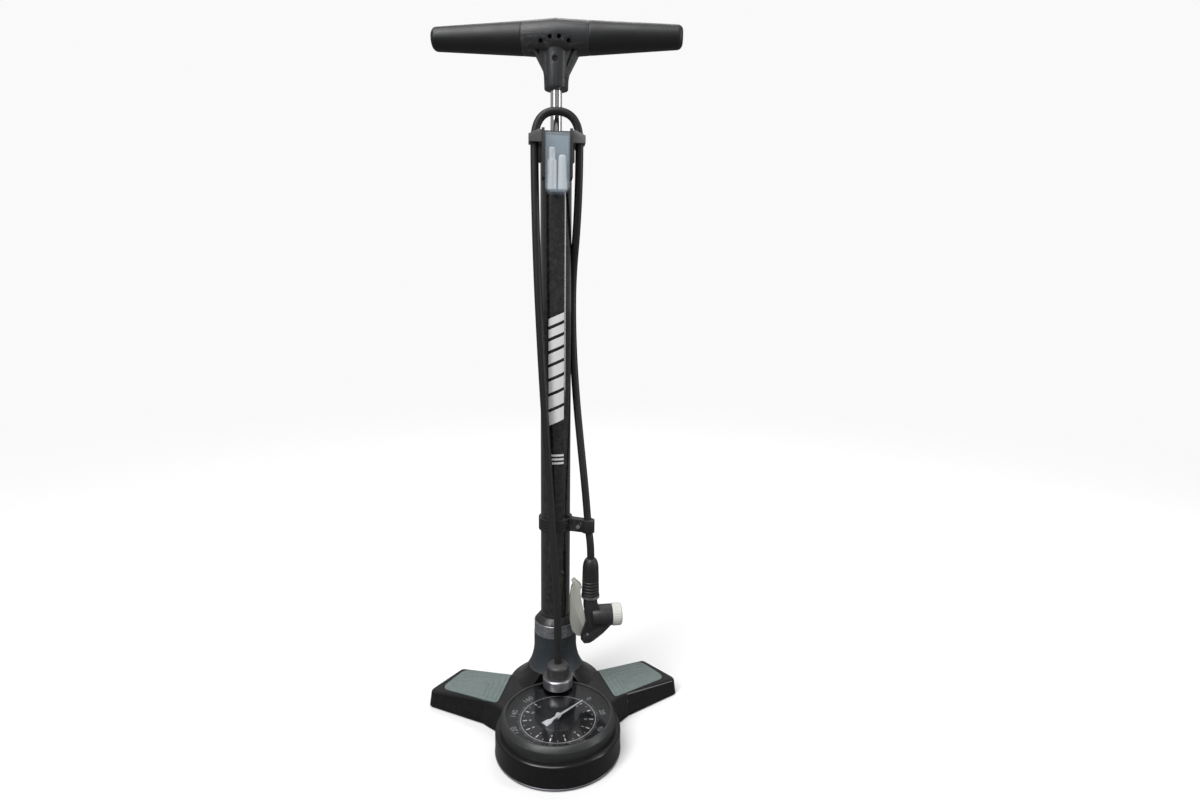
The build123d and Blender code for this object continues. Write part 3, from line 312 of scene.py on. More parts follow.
def bracket_finish():
    """The bracket's moulding: dark grey rails, and coarser, lighter shoulders beside them."""
    material, tree, shader = bare("bracket_plastic", 0.5)
    where = tree.nodes.new("ShaderNodeTexCoord").outputs["Object"]
    place = tree.nodes.new("ShaderNodeSeparateXYZ")
    tree.links.new(where, place.inputs[0])
    beside = maths(tree, "GREATER_THAN", maths(tree, "ABSOLUTE", place.outputs["X"]), 15.1 * mm)
    outside = maths(tree, "MULTIPLY", beside, maths(tree, "LESS_THAN", place.outputs["Y"], -8.0 * mm))
    surface = use(tree, grain, Cell_Scale=1500.0, Cloud_Scale=40.0)
    rails = blend_colour(tree, surface["Mottle"], (0.030, 0.030, 0.031), (0.052, 0.052, 0.052))
    shoulders = blend_colour(tree, surface["Height"], (0.075, 0.075, 0.073), (0.17, 0.168, 0.165))
    painted = blend_colour(tree, outside, rails, shoulders)
    film = use(tree, dust, Amount=0.5)["Mask"]
    painted = blend_colour(tree, film, painted, (0.36, 0.35, 0.33))
    tree.links.new(painted, shader.inputs["Base Color"])
    bump = tree.nodes.new("ShaderNodeBump")
    bump.inputs["Strength"].default_value = 0.7
    bump.inputs["Distance"].default_value = 0.12 * mm
    tree.links.new(surface["Height"], bump.inputs["Height"])
    tree.links.new(bump.outputs["Normal"], shader.inputs["Normal"])
    return material


finishes = {
    "barrel_paint": finish(
        "barrel_paint", (0.0055, 0.0055, 0.006), (0.009, 0.009, 0.0095), 0.13, 0.04, 900.0, 0.0015,
        worn=(0.05, 0.05, 0.05), dusty=0.1, coat=0.8, coat_roughness=0.05,
    ),
    "base_plastic": finish(
        "base_plastic", (0.003, 0.003, 0.0034), (0.006, 0.006, 0.0064), 0.2, 0.06, 2200.0, 0.003,
        worn=(0.04, 0.04, 0.04), reach=0.2, dusty=0.06, coat=0.2, coat_roughness=0.07, specular=0.4,
    ),
    "black_plastic": finish(
        "black_plastic", (0.010, 0.010, 0.011), (0.019, 0.019, 0.02), 0.34, 0.12, 2400.0, 0.02,
        worn=(0.07, 0.07, 0.07), dusty=0.1,
    ),
    "base_cover_plastic": finish(
        "base_cover_plastic", (0.03, 0.03, 0.03), (0.05, 0.05, 0.05), 0.6, 0.1, 1600.0, 0.05, dusty=0.1
    ),
    "seal_rubber": finish(
        "seal_rubber", (0.012, 0.012, 0.012), (0.024, 0.024, 0.024), 0.62, 0.1, 2600.0, 0.03
    ),
    "slate_plastic": finish(
        "slate_plastic", (0.020, 0.026, 0.032), (0.030, 0.037, 0.044), 0.4, 0.12, 2400.0, 0.03,
        worn=(0.12, 0.13, 0.14), dusty=0.25,
    ),
    "trim_metal": finish(
        "trim_metal", (0.16, 0.165, 0.185), (0.21, 0.215, 0.24), 0.28, 0.1, 3500.0, 0.01,
        worn=(0.5, 0.5, 0.5), dusty=0.12, metallic=0.6,
    ),
    "pad_rubber": finish(
        "pad_rubber", (0.105, 0.145, 0.138), (0.14, 0.185, 0.175), 0.66, 0.12, 1500.0, 0.08,
        worn=(0.2, 0.24, 0.23), reach=0.4, dusty=0.3, specular=0.3,
    ),
    "bezel_plastic": finish(
        "bezel_plastic", (0.018, 0.019, 0.020), (0.028, 0.029, 0.030), 0.36, 0.1, 2300.0, 0.02,
        worn=(0.13, 0.12, 0.11), reach=0.3, dusty=0.1,
    ),
    "clear_lens": clear("clear_lens", (0.97, 0.98, 1.0), 0.012, 1.0, 0.02),
    "dial_black": finish(
        "dial_black", (0.006, 0.006, 0.007), (0.009, 0.009, 0.010), 0.5, 0.05, 3000.0, 0.01, dusty=0.0
    ),
    "needle_white": finish(
        "needle_white", (0.92, 0.92, 0.9), (0.96, 0.96, 0.95), 0.35, 0.05, 3000.0, 0.005, dusty=0.0
    ),
    "dial_grey": finish(
        "dial_grey", (0.36, 0.36, 0.365), (0.42, 0.42, 0.425), 0.5, 0.05, 3000.0, 0.005, dusty=0.0
    ),
    "outlet_metal": finish(
        "outlet_metal", (0.28, 0.28, 0.3), (0.36, 0.36, 0.38), 0.28, 0.12, depth=0.02,
        worn=(0.6, 0.6, 0.6), dusty=0.1, rings=True, metallic=0.9,
    ),
    "hose_nut_plastic": finish(
        "hose_nut_plastic", (0.032, 0.03, 0.031), (0.05, 0.047, 0.048), 0.36, 0.12, 2400.0, 0.02,
        worn=(0.14, 0.13, 0.13), dusty=0.2,
    ),
    "hub_plastic": finish(
        "hub_plastic", (0.030, 0.031, 0.034), (0.043, 0.044, 0.047), 0.36, 0.12, 2300.0, 0.03,
        worn=(0.14, 0.14, 0.145), dusty=0.2,
    ),
    "hose_rubber": finish(
        "hose_rubber", (0.011, 0.011, 0.0115), (0.019, 0.019, 0.0195), 0.42, 0.14, 1800.0, 0.03, dusty=0.2
    ),
    "cap_plastic": finish(
        "cap_plastic", (0.03, 0.03, 0.03), (0.05, 0.05, 0.049), 0.48, 0.12, 1700.0, 0.06,
        worn=(0.12, 0.12, 0.12), dusty=0.35,
    ),
    "bracket_plastic": bracket_finish(),
    "clear_plastic": clear("clear_plastic", (0.62, 0.74, 0.84), 0.08, 0.0, 0.12, alpha=0.2),
    "adapter_metal": finish(
        "adapter_metal", (0.84, 0.83, 0.81), (0.92, 0.91, 0.9), 0.3, 0.1,
        depth=0.005, rings=True, metallic=0.2,
    ),
    "adapter_white": finish(
        "adapter_white", (0.88, 0.89, 0.9), (0.94, 0.95, 0.95), 0.3, 0.1, 2400.0, 0.01, dusty=0.1
    ),
    "rod_chrome": finish(
        "rod_chrome", (0.72, 0.73, 0.75), (0.8, 0.81, 0.82), 0.13, 0.04,
        depth=0.0002, dusty=0.0, metallic=1.0,
    ),
    "grip_plastic": finish(
        "grip_plastic", (0.013, 0.0135, 0.014), (0.022, 0.0225, 0.023), 0.4, 0.14, 1500.0, 0.05,
        worn=(0.06, 0.06, 0.06), dusty=0.25,
    ),
    "chuck_plastic": finish(
        "chuck_plastic", (0.014, 0.014, 0.016), (0.025, 0.025, 0.027), 0.36, 0.12, 2300.0, 0.025,
        worn=(0.1, 0.1, 0.1), dusty=0.2,
    ),
    "lever_grey": finish(
        "lever_grey", (0.41, 0.42, 0.37), (0.49, 0.50, 0.45), 0.4, 0.1, 2200.0, 0.03,
        worn=(0.55, 0.55, 0.5), dusty=0.15,
    ),
    "nut_grey": finish(
        "nut_grey", (0.60, 0.61, 0.57), (0.70, 0.71, 0.67), 0.4, 0.1, 2200.0, 0.03,
        worn=(0.75, 0.75, 0.72), dusty=0.1,
    ),
    "bright_steel": finish(
        "bright_steel", (0.6, 0.6, 0.6), (0.7, 0.7, 0.69), 0.22, 0.1, depth=0.01, rings=True, metallic=1.0
    ),
    "black_steel": finish(
        "black_steel", (0.012, 0.012, 0.013), (0.02, 0.02, 0.021), 0.35, 0.1,
        depth=0.01, rings=True, metallic=0.6,
    ),
    "brass": finish(
        "brass", (0.55, 0.38, 0.15), (0.65, 0.47, 0.2), 0.28, 0.1, depth=0.01, rings=True, metallic=1.0
    ),
    "white_nylon": finish("white_nylon", (0.66, 0.65, 0.6), (0.74, 0.72, 0.67), 0.45, 0.1, 2200.0, 0.02),
    "graphic_white": finish(
        "graphic_white", (0.9, 0.9, 0.9), (0.95, 0.95, 0.95), 0.3, 0.1, 1200.0, 0.01, dusty=0.0, coat=0.4
    ),
}
special = {"base_shell": "base_plastic", "hose_bracket": "bracket_plastic", "hose_nut": "hose_nut_plastic"}
slot_of = {part["node"]: part["material_slot"] for part in frame["record"]["subparts"]}
for node, solid in nodes.items():
    solid.data.materials.clear()
    solid.data.materials.append(finishes[special.get(node, slot_of[node])])
    solid.data.shade_smooth()
    solid.data.set_sharp_from_angle(angle=math.radians(32))


# --- making pieces --------------------------------------------------------------------------------
def piece(name, mesh, material, body="root"):
    """Put a mesh in the scene as a piece that rides on a body and takes a slot's finish."""
    mesh.materials.append(finishes[material])
    made = bpy.data.objects.new(name, mesh)
    bpy.context.scene.collection.objects.link(made)
    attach(made, body)
    return made


def closed_mesh(name, points, faces, sharp=35.0):
    """A mesh of points and faces with its doubles merged, its faces outwards and its edges smooth."""
    mesh = bpy.data.meshes.new(name)
    mesh.from_pydata(points.tolist(), [], faces.tolist())
    shell = bmesh.new()
    shell.from_mesh(mesh)
    bmesh.ops.remove_doubles(shell, verts=shell.verts, dist=1e-7)
    bmesh.ops.dissolve_degenerate(shell, edges=shell.edges, dist=1e-8)
    bmesh.ops.recalc_face_normals(shell, faces=shell.faces)
    shell.to_mesh(mesh)
    shell.free()
    mesh.shade_smooth()
    mesh.set_sharp_from_angle(angle=math.radians(sharp))
    return mesh


def grid_faces(rows, columns, round_columns=False):
    """Quads between neighbouring points of a grid; round columns join their end to their start."""
    index = np.arange(rows * columns).reshape(rows, columns)
    if round_columns:
        index = np.hstack([index, index[:, :1]])
    corners = (index[:-1, :-1], index[1:, :-1], index[1:, 1:], index[:-1, 1:])
    return np.stack([corner.ravel() for corner in corners], axis=1)


def capped(rings):
    """Rings of points with one more ring at each end, drawn in to that end's middle."""
    first = rings[:1].mean(axis=1, keepdims=True).repeat(rings.shape[1], 1)
    last = rings[-1:].mean(axis=1, keepdims=True).repeat(rings.shape[1], 1)
    return np.concatenate([first, rings, last], axis=0)


def rounded(outline, radius, steps=5):
    """Round each inner corner of an open outline by a parabola that leaves it one radius away."""
    outline = np.asarray(outline, float)
    t = np.linspace(0.0, 1.0, steps)[:, None]
    run = [outline[:1]]
    for before, corner, after in zip(outline, outline[1:], outline[2:]):
        start = corner + (before - corner) * min(0.48, radius / max(np.linalg.norm(before - corner), 1e-9))
        end = corner + (after - corner) * min(0.48, radius / max(np.linalg.norm(after - corner), 1e-9))
        run.append((1 - t) ** 2 * start + 2 * t * (1 - t) * corner + t**2 * end)
    run.append(outline[-1:])
    return np.vstack(run)


def turned(name, profile, centre, axis=up, steps=96, ripple=None):
    """Skin of a profile of (radius, height) carried round an axis.

    A point is centre + height * axis + (radius + ripple(angle, radius, height)) * the turning arm.
    """
    axis = np.asarray(axis, float)
    side = np.cross(axis, (0.0, 1.0, 0.0) if abs(axis[1]) < 0.9 else (1.0, 0.0, 0.0))
    side /= np.linalg.norm(side)
    other = np.cross(axis, side)
    angle = np.linspace(0.0, 2 * math.pi, steps, endpoint=False)[None, :]
    radius = np.asarray(profile)[:, :1] * np.ones_like(angle)
    height = np.asarray(profile)[:, 1:] * np.ones_like(angle)
    if ripple is not None:
        radius = radius + ripple(angle, radius, height)
    arm = np.cos(angle)[..., None] * side + np.sin(angle)[..., None] * other
    points = np.asarray(centre) + height[..., None] * axis + radius[..., None] * arm
    faces = grid_faces(*radius.shape, round_columns=True)
    return closed_mesh(name, points.reshape(-1, 3), faces)


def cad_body(node):
    """Name of the body that a CAD node belongs to."""
    for body, members in frame["record"]["behaviour"]["bodies"].items():
        if node in members:
            return body
    return "root"


def softened(node, width):
    """A copy of a CAD node with its hard edges rounded: merged, flats joined, corners bevelled."""
    mesh = bpy.data.meshes.new(node + "_skin")
    shell = bmesh.new()
    shell.from_mesh(nodes[node].data)
    bmesh.ops.remove_doubles(shell, verts=shell.verts, dist=2e-6)
    bmesh.ops.dissolve_limit(shell, angle_limit=math.radians(0.6), verts=shell.verts, edges=shell.edges)
    bmesh.ops.recalc_face_normals(shell, faces=shell.faces)
    shell.to_mesh(mesh)
    shell.free()
    mesh.shade_smooth()
    made = piece(mesh.name, mesh, special.get(node, slot_of[node]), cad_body(node))
    edge = made.modifiers.new("edge", "BEVEL")
    edge.width = width * mm
    edge.segments = 2
    edge.limit_method = "ANGLE"
    edge.angle_limit = math.radians(28)
    edge.harden_normals = True
    edge.use_clamp_overlap = True
    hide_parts(node)
    return made


# --- hose -------------------------------------------------------------------------------------------
def make_hose():
    """The hose: one smooth NURBS line through the route, with a round section."""
    line = bpy.data.curves.new("air_hose", "CURVE")
    line.dimensions = "3D"
    spline = line.splines.new("NURBS")
    spline.points.add(len(hose_route) - 1)
    for point, place in zip(spline.points, hose_route):
        point.co = (*place, 1.0)
    spline.order_u = 3
    spline.use_endpoint_u = True
    spline.resolution_u = 14
    line.bevel_depth = hose_radius
    line.bevel_resolution = 5
    line.use_fill_caps = True
    line.materials.append(finishes["hose_rubber"])
    made = bpy.data.objects.new("air_hose", line)
    bpy.context.scene.collection.objects.link(made)
    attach(made, "root")
    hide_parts("hose")
    return made


def make_relief():
    """The head's strain relief: a domed sleeve whose radius dips in rings near its foot."""
    foot = low("hose_relief")[2]
    top = high("hose_relief")[2]
    height = np.linspace(0.0, 1.0, 150)
    radius = 9.5 * mm - 1.2 * mm * height
    shoulder = np.clip((height - 0.72) / 0.28, 0.0, 1.0)
    radius -= 4.0 * mm * (1.0 - np.sqrt(1.0 - 0.97 * shoulder**2))
    rings = np.clip(np.sin((height * (top - foot)) / (3.4 * mm) * 2 * math.pi - 1.2) * 3.0, -1.0, 1.0)
    radius += np.where(height < 0.42, 0.42 * mm * (rings - 1.0) * 0.5, 0.0)
    profile = np.column_stack([radius, foot + (top - foot) * height])
    profile = np.vstack([(0.0, foot), profile, (0.0, top)])
    mesh = turned("relief_sleeve", profile, (*head_axis, 0.0))
    made = piece("relief_sleeve", mesh, "hose_rubber")
    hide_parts("hose_relief")
    return made


def fluted(count, depth, start, end):
    """Ripple for turned(): count rounded flutes of a depth between two heights, none on the ends."""

    def ripple(angle, radius, height):
        along = np.clip((height - start) / (0.8 * mm), 0, 1) * np.clip((end - height) / (0.8 * mm), 0, 1)
        flute = np.abs(np.cos(0.5 * count * angle)) ** 0.6
        return -depth * along * (1.0 - flute) * (radius > 0.6 * radius.max())

    return ripple


def make_hose_nut():
    """The nut on the outlet: a knurled barrel with a smooth collar under it and a domed top."""
    foot = low("hose_nut")[2]
    top = high("hose_nut")[2]
    outer = 12.0 * mm
    outline = rounded(
        [
            (0.0, foot),
            (outer - 0.8 * mm, foot),
            (outer, foot + 1.2 * mm),
            (outer, top - 3.2 * mm),
            (outer - 1.4 * mm, top - 1.0 * mm),
            (7.0 * mm, top),
            (0.0, top),
        ],
        0.9 * mm,
    )
    body = np.linspace(foot + 2.0 * mm, top - 4.0 * mm, 12)
    below = outline[outline[:, 1] < body[0]]
    above = outline[outline[:, 1] > body[-1]]
    outline = np.vstack([below, [(outer, z) for z in body], above])
    ripple = fluted(26, 0.55 * mm, foot + 1.6 * mm, top - 3.2 * mm)
    mesh = turned("knurled_hose_nut", outline, (*outlet_axis, 0.0), steps=364, ripple=ripple)
    made = piece("knurled_hose_nut", mesh, "hose_nut_plastic")
    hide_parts("hose_nut")
    return made


def make_nozzle_nut():
    """The nut on the nozzle: fine knurls between two smooth lips, open at the bore."""
    nozzle = np.array([*head_axis, 110.6 * mm])
    back, front, outer, bore = 23.4 * mm, 34.0 * mm, 12.0 * mm, 4.6 * mm
    outline = rounded(
        [
            (bore, back + 6.0 * mm),
            (bore, front - 0.8 * mm),
            (bore + 0.8 * mm, front),
            (outer - 1.4 * mm, front),
            (outer, front - 1.4 * mm),
            (outer, back + 0.7 * mm),
            (outer - 0.7 * mm, back),
            (8.2 * mm, back),
            (8.2 * mm, back + 6.0 * mm),
            (bore, back + 6.0 * mm),
        ],
        0.5 * mm,
    )
    ripple = fluted(34, 0.4 * mm, back + 1.4 * mm, front - 2.2 * mm)
    body = np.linspace(front - 1.9 * mm, back + 1.1 * mm, 14)
    outside = outline[:, 0] > outer - 1e-6
    first = int(np.argmax(outside))
    last = len(outside) - int(np.argmax(outside[::-1]))
    outline = np.vstack([outline[:first], [(outer, z) for z in body], outline[last:]])
    mesh = turned("knurled_nozzle_nut", outline, nozzle, nozzle_way, steps=340, ripple=ripple)
    made = piece("knurled_nozzle_nut", mesh, "nut_grey")
    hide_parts("nozzle_nut")
    return made


# --- gauge --------------------------------------------------------------------------------------------
dial_centre = middle("gauge_dial")
dial_face = high("gauge_dial")[2]
scale_start = math.radians(42.0)
scale_sweep = math.radians(270.0)
ink = 0.06 * mm


def prisms(name, outlines, foot, height):
    """Flat plates: each outline of (x, y) points, raised from foot by a height, closed all round."""
    points, faces, base = [], [], 0
    for outline in outlines:
        count = len(outline)
        ring = np.asarray(outline)
        points.append(np.column_stack([ring, np.full(count, foot)]))
        points.append(np.column_stack([ring, np.full(count, foot + height)]))
        here = np.arange(count)
        after = np.roll(here, -1)
        faces += (base + np.column_stack([here, after, after + count, here + count])).tolist()
        faces.append((here[::-1] + base).tolist())
        faces.append((here + count + base).tolist())
        base += 2 * count
    mesh = bpy.data.meshes.new(name)
    mesh.from_pydata(np.vstack(points).tolist(), [], faces)
    shell = bmesh.new()
    shell.from_mesh(mesh)
    bmesh.ops.recalc_face_normals(shell, faces=shell.faces)
    shell.to_mesh(mesh)
    shell.free()
    return mesh


def bar_at(angle, inner, outer, width):
    """Outline of a dial mark from one radius to another, as four (x, y) corners."""
    out = np.array([math.cos(angle), math.sin(angle)])
    side = np.array([-out[1], out[0]]) * 0.5 * width
    centre = dial_centre[:2]
    return [
        centre + out * inner - side,
        centre + out * outer - side,
        centre + out * outer + side,
        centre + out * inner + side,
    ]


def dial_angle(share):
    """Angle of a reading that is a share of full scale; the scale runs clockwise."""
    return scale_start - scale_sweep * share


def numerals(name, labels, radius, size, material):
    """Numbers round the dial, each standing on the circle with its top outwards."""
    parts = []
    for text, share in labels:
        curve = bpy.data.curves.new(name, "FONT")
        curve.body = text
        curve.size = size
        curve.align_x = "CENTER"
        curve.align_y = "CENTER"
        curve.extrude = 0.5 * ink
        holder = bpy.data.objects.new(name, curve)
        bpy.context.scene.collection.objects.link(holder)
        flat = bpy.data.meshes.new_from_object(holder)
        bpy.data.objects.remove(holder)
        bpy.data.curves.remove(curve)
        angle = dial_angle(share)
        turn = angle - 0.5 * math.pi
        places = np.empty(len(flat.vertices) * 3)
        flat.vertices.foreach_get("co", places)
        x, y, z = places.reshape(-1, 3).T
        moved = np.column_stack(
            [
                dial_centre[0] + radius * math.cos(angle) + x * math.cos(turn) - y * math.sin(turn),
                dial_centre[1] + radius * math.sin(angle) + x * math.sin(turn) + y * math.cos(turn),
                dial_face + 0.5 * ink + z,
            ]
        )
        flat.vertices.foreach_set("co", moved.ravel())
        parts.append(flat)
    joined = bmesh.new()
    for flat in parts:
        joined.from_mesh(flat)
        bpy.data.meshes.remove(flat)
    bmesh.ops.remove_doubles(joined, verts=joined.verts, dist=1e-7)
    bmesh.ops.recalc_face_normals(joined, faces=joined.faces)
    mesh = bpy.data.meshes.new(name)
    joined.to_mesh(mesh)
    joined.free()
    return piece(name, mesh, material)


def make_dial():
    """Dial printing: outer dim numbers and ticks, a thin ring, and inner bold dashes and numbers."""
    outer_full = 160
    inner_full = 11
    labels = [(str(v), v / outer_full) for v in range(0, outer_full + 1, 20)]
    numerals("outer_numbers", labels, 45.5 * mm, 8.2 * mm, "dial_grey")
    labels = [(str(v), v / inner_full) for v in range(inner_full + 1)]
    numerals("inner_numbers", labels, 27.6 * mm, 3.9 * mm, "needle_white")
    marks = []
    for step, inner, outer, width in ((2, 38.4, 40.2, 0.32), (10, 38.2, 41.4, 0.5)):
        for value in range(0, outer_full + 1, step):
            marks.append(bar_at(dial_angle(value / outer_full), inner * mm, outer * mm, width * mm))
    piece("outer_ticks", prisms("outer_ticks", marks, dial_face, ink), "dial_grey")
    wholes = [v / inner_full for v in range(inner_full + 1)]
    bold = [bar_at(dial_angle(share), 31.4 * mm, 35.4 * mm, 1.25 * mm) for share in wholes]
    halves = [(v + 0.5) / inner_full for v in range(inner_full)]
    half = [bar_at(dial_angle(share), 34.0 * mm, 35.4 * mm, 0.5 * mm) for share in halves]
    piece("inner_dashes", prisms("inner_dashes", bold + half, dial_face, ink), "needle_white")
    ring = [(37.4 * mm, 0.0), (37.85 * mm, 0.0), (37.85 * mm, ink), (37.4 * mm, ink), (37.4 * mm, 0.0)]
    mesh = turned("dial_ring", ring, (dial_centre[0], dial_centre[1], dial_face), steps=180)
    piece("dial_ring", mesh, "needle_white")
    sweep = np.linspace(dial_angle(0.62), dial_angle(0.38), 40)
    band = [bar_at(angle, 19.0 * mm, 20.0 * mm, 0.45 * mm) for angle in sweep[::4]]
    piece("unit_marks", prisms("unit_marks", band, dial_face, ink), "dial_grey")


def make_drum_rim():
    """A thin bead round the drum's foot, in a lighter metal than the drum: a painted reflection, standing
    in for the light line that the floor's reflection draws along the drum's lower edge.

    Its section is half an ellipse: radius is drum + proud * cos(angle), height is rise + half * sin(angle).
    """
    drum, rise, proud, half = 62.9 * mm, 1.9 * mm, 0.55 * mm, 0.75 * mm
    angle = np.linspace(-0.5 * math.pi, 0.5 * math.pi, 9)
    profile = np.column_stack([drum + proud * np.cos(angle), rise + half * np.sin(angle)])
    profile = np.vstack([profile, profile[:1]])
    mesh = turned("drum_reflection_bead", profile, (0.0, dial_centre[1], 0.0), steps=220)
    # Painted reflection: the bead's lighter metal colour stands in for the floor's reflection along the
    # drum's foot.
    return piece("drum_reflection_bead", mesh, "trim_metal")


# --- foot pads ----------------------------------------------------------------------------------------
pad_corners = np.array([(49.5, 5.8), (103.5, 32.3), (127.0, 2.0), (62.5, -43.5)]) * mm
pad_height = 36.2 * mm
pad_fall = 0.127


def crossing(first, first_way, second, second_way):
    """Where two straight lines in the plane cross."""
    step = np.linalg.solve(np.column_stack([first_way, -second_way]), second - first)
    return first + step[0] * first_way


def pad_line(inset):
    """One moulded line: along the pad's back, round its inner corner, and forward to its front."""
    inner_back, outer_back, outer_front, inner_front = pad_corners
    back_way = outer_back - inner_back
    side_way = inner_front - inner_back
    back_in = np.array([back_way[1], -back_way[0]]) / np.linalg.norm(back_way)
    side_in = np.array([-side_way[1], side_way[0]]) / np.linalg.norm(side_way)
    edge = 3.2 * mm
    corner = crossing(inner_back + back_in * inset, back_way, inner_back + side_in * inset, side_way)
    far = crossing(inner_back + back_in * inset, back_way, outer_back, outer_front - outer_back)
    near = crossing(inner_back + side_in * inset, side_way, inner_front, outer_front - inner_front)
    far -= edge * back_way / np.linalg.norm(back_way)
    near -= edge * side_way / np.linalg.norm(side_way)
    return rounded([far, corner, near], 3.5 * mm, 8)


def raised_line(path, width, height):
    """Points and faces of a rounded rib along a path on the pad's slope.

    Across the path the section is a half ellipse; its foot is sunk a little into the pad.
    """
    way = np.gradient(path, axis=0)
    way /= np.linalg.norm(way, axis=1)[:, None]
    side = np.column_stack([-way[:, 1], way[:, 0]])
    sides = 12
    around = np.linspace(0.0, 2 * math.pi, sides, endpoint=False)
    across = path[:, None, :] + side[:, None, :] * (0.5 * width * np.cos(around))[None, :, None]
    lift = pad_height - pad_fall * np.abs(across[..., 0]) + height * np.sin(around)[None, :]
    points = np.concatenate([across, lift[..., None]], axis=2)
    points = capped(points)
    return points.reshape(-1, 3), grid_faces(len(points), sides, round_columns=True)


def make_pad_lines(side, name):
    """Four nested lines on a foot pad; the left pad's are the right pad's turned over in x."""
    points, faces, base = [], [], 0
    for inset in (4.0, 9.5, 15.0, 20.5):
        line_points, line_faces = raised_line(pad_line(inset * mm), 1.1 * mm, 0.32 * mm)
        points.append(line_points * np.array([side, 1.0, 1.0]))
        faces.append(line_faces + base)
        base += len(line_points)
    mesh = closed_mesh(name, np.vstack(points), np.vstack(faces), sharp=60.0)
    return piece(name, mesh, "pad_rubber")


# --- barrel graphic -------------------------------------------------------------------------------------
graphic_foot = 323.0 * mm
mark_foot = 278.5 * mm
graphic_half_angle = 0.52
graphic_lift = 0.05 * mm
barrel_radius = 15.9 * mm


def barrel_patch(low_z, high_z, slant):
    """A slanted white block on the barrel's front.

    angle runs across the block and z up it; z is raised by slant times the angle.
    """
    radius = barrel_radius + graphic_lift
    angle = np.linspace(-graphic_half_angle, graphic_half_angle, 15)[None, :]
    share = np.linspace(0.0, 1.0, 3)[:, None]
    z = low_z + (high_z - low_z) * share + slant * angle
    x = radius * np.sin(angle) * np.ones_like(share)
    y = -radius * np.cos(angle) * np.ones_like(share)
    return np.stack([x, y, z], axis=2).reshape(-1, 3), grid_faces(3, 15)[:, ::-1]


def make_graphic():
    """A generic graphic: a ladder of slanted blocks that get shorter upwards, and three thin bars."""
    points, faces, base = [], [], 0
    spans = []
    z = graphic_foot
    for step in range(8):
        tall = (14.0 - 0.9 * step) * mm
        spans.append((z, z + tall, 7.0 * mm))
        z += tall + 3.4 * mm
    for step in range(3):
        start = mark_foot + 4.2 * mm * step
        spans.append((start, start + 2.2 * mm, 0.0))
    for low_z, high_z, slant in spans:
        patch_points, patch_faces = barrel_patch(low_z, high_z, slant)
        points.append(patch_points)
        faces.append(patch_faces + base)
        base += len(patch_points)
    mesh = bpy.data.meshes.new("barrel_graphic")
    mesh.from_pydata(np.vstack(points).tolist(), [], np.vstack(faces).tolist())
    made = piece("barrel_graphic", mesh, "graphic_white")
    skin = made.modifiers.new("skin", "SOLIDIFY")
    skin.thickness = 0.05 * mm
    skin.offset = 0.0
    return made


def make_spring():
    """The check valve's spring: a round wire on a helix of six turns.

    Height rises evenly with the turn; the wire's section stands across the helix's radius.
    """
    foot = low("valve_spring")[2]
    top = high("valve_spring")[2]
    wire = 0.3 * mm
    along = np.linspace(0.0, 1.0, 289)[:, None]
    turn = 12.0 * math.pi * along
    sides = 10
    around = np.linspace(0.0, 2 * math.pi, sides, endpoint=False)[None, :]
    radius = 2.2 * mm + wire * np.cos(around) * np.ones_like(along)
    height = foot + wire + (top - foot - 2.0 * wire) * along + wire * np.sin(around)
    points = capped(np.stack([radius * np.cos(turn), radius * np.sin(turn), height], axis=2))
    faces = grid_faces(len(points), sides, round_columns=True)
    mesh = closed_mesh("check_spring", points.reshape(-1, 3), faces)
    made = piece("check_spring", mesh, slot_of["valve_spring"])
    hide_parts("valve_spring")
    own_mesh(made)
    return made


hose = make_hose()
relief = make_relief()
make_spring()
make_hose_nut()
nozzle_nut = make_nozzle_nut()
make_dial()
make_drum_rim()
make_pad_lines(1, "pad_lines_right")
make_pad_lines(-1, "pad_lines_left")
make_graphic()
edge_widths = {
    "accessory_case": 0.5,
    "chuck_lever": 0.9,
    "chuck_body": 0.7,
    "handle_hub": 0.6,
    "hose_bracket": 0.4,
    "clamp_band": 0.35,
    "gauge_bezel": 0.5,
    "outlet_elbow": 0.6,
    "barrel_nut": 0.4,
    "barrel_cap": 0.3,
}
rounded_skins = {node: softened(node, width) for node, width in edge_widths.items()}


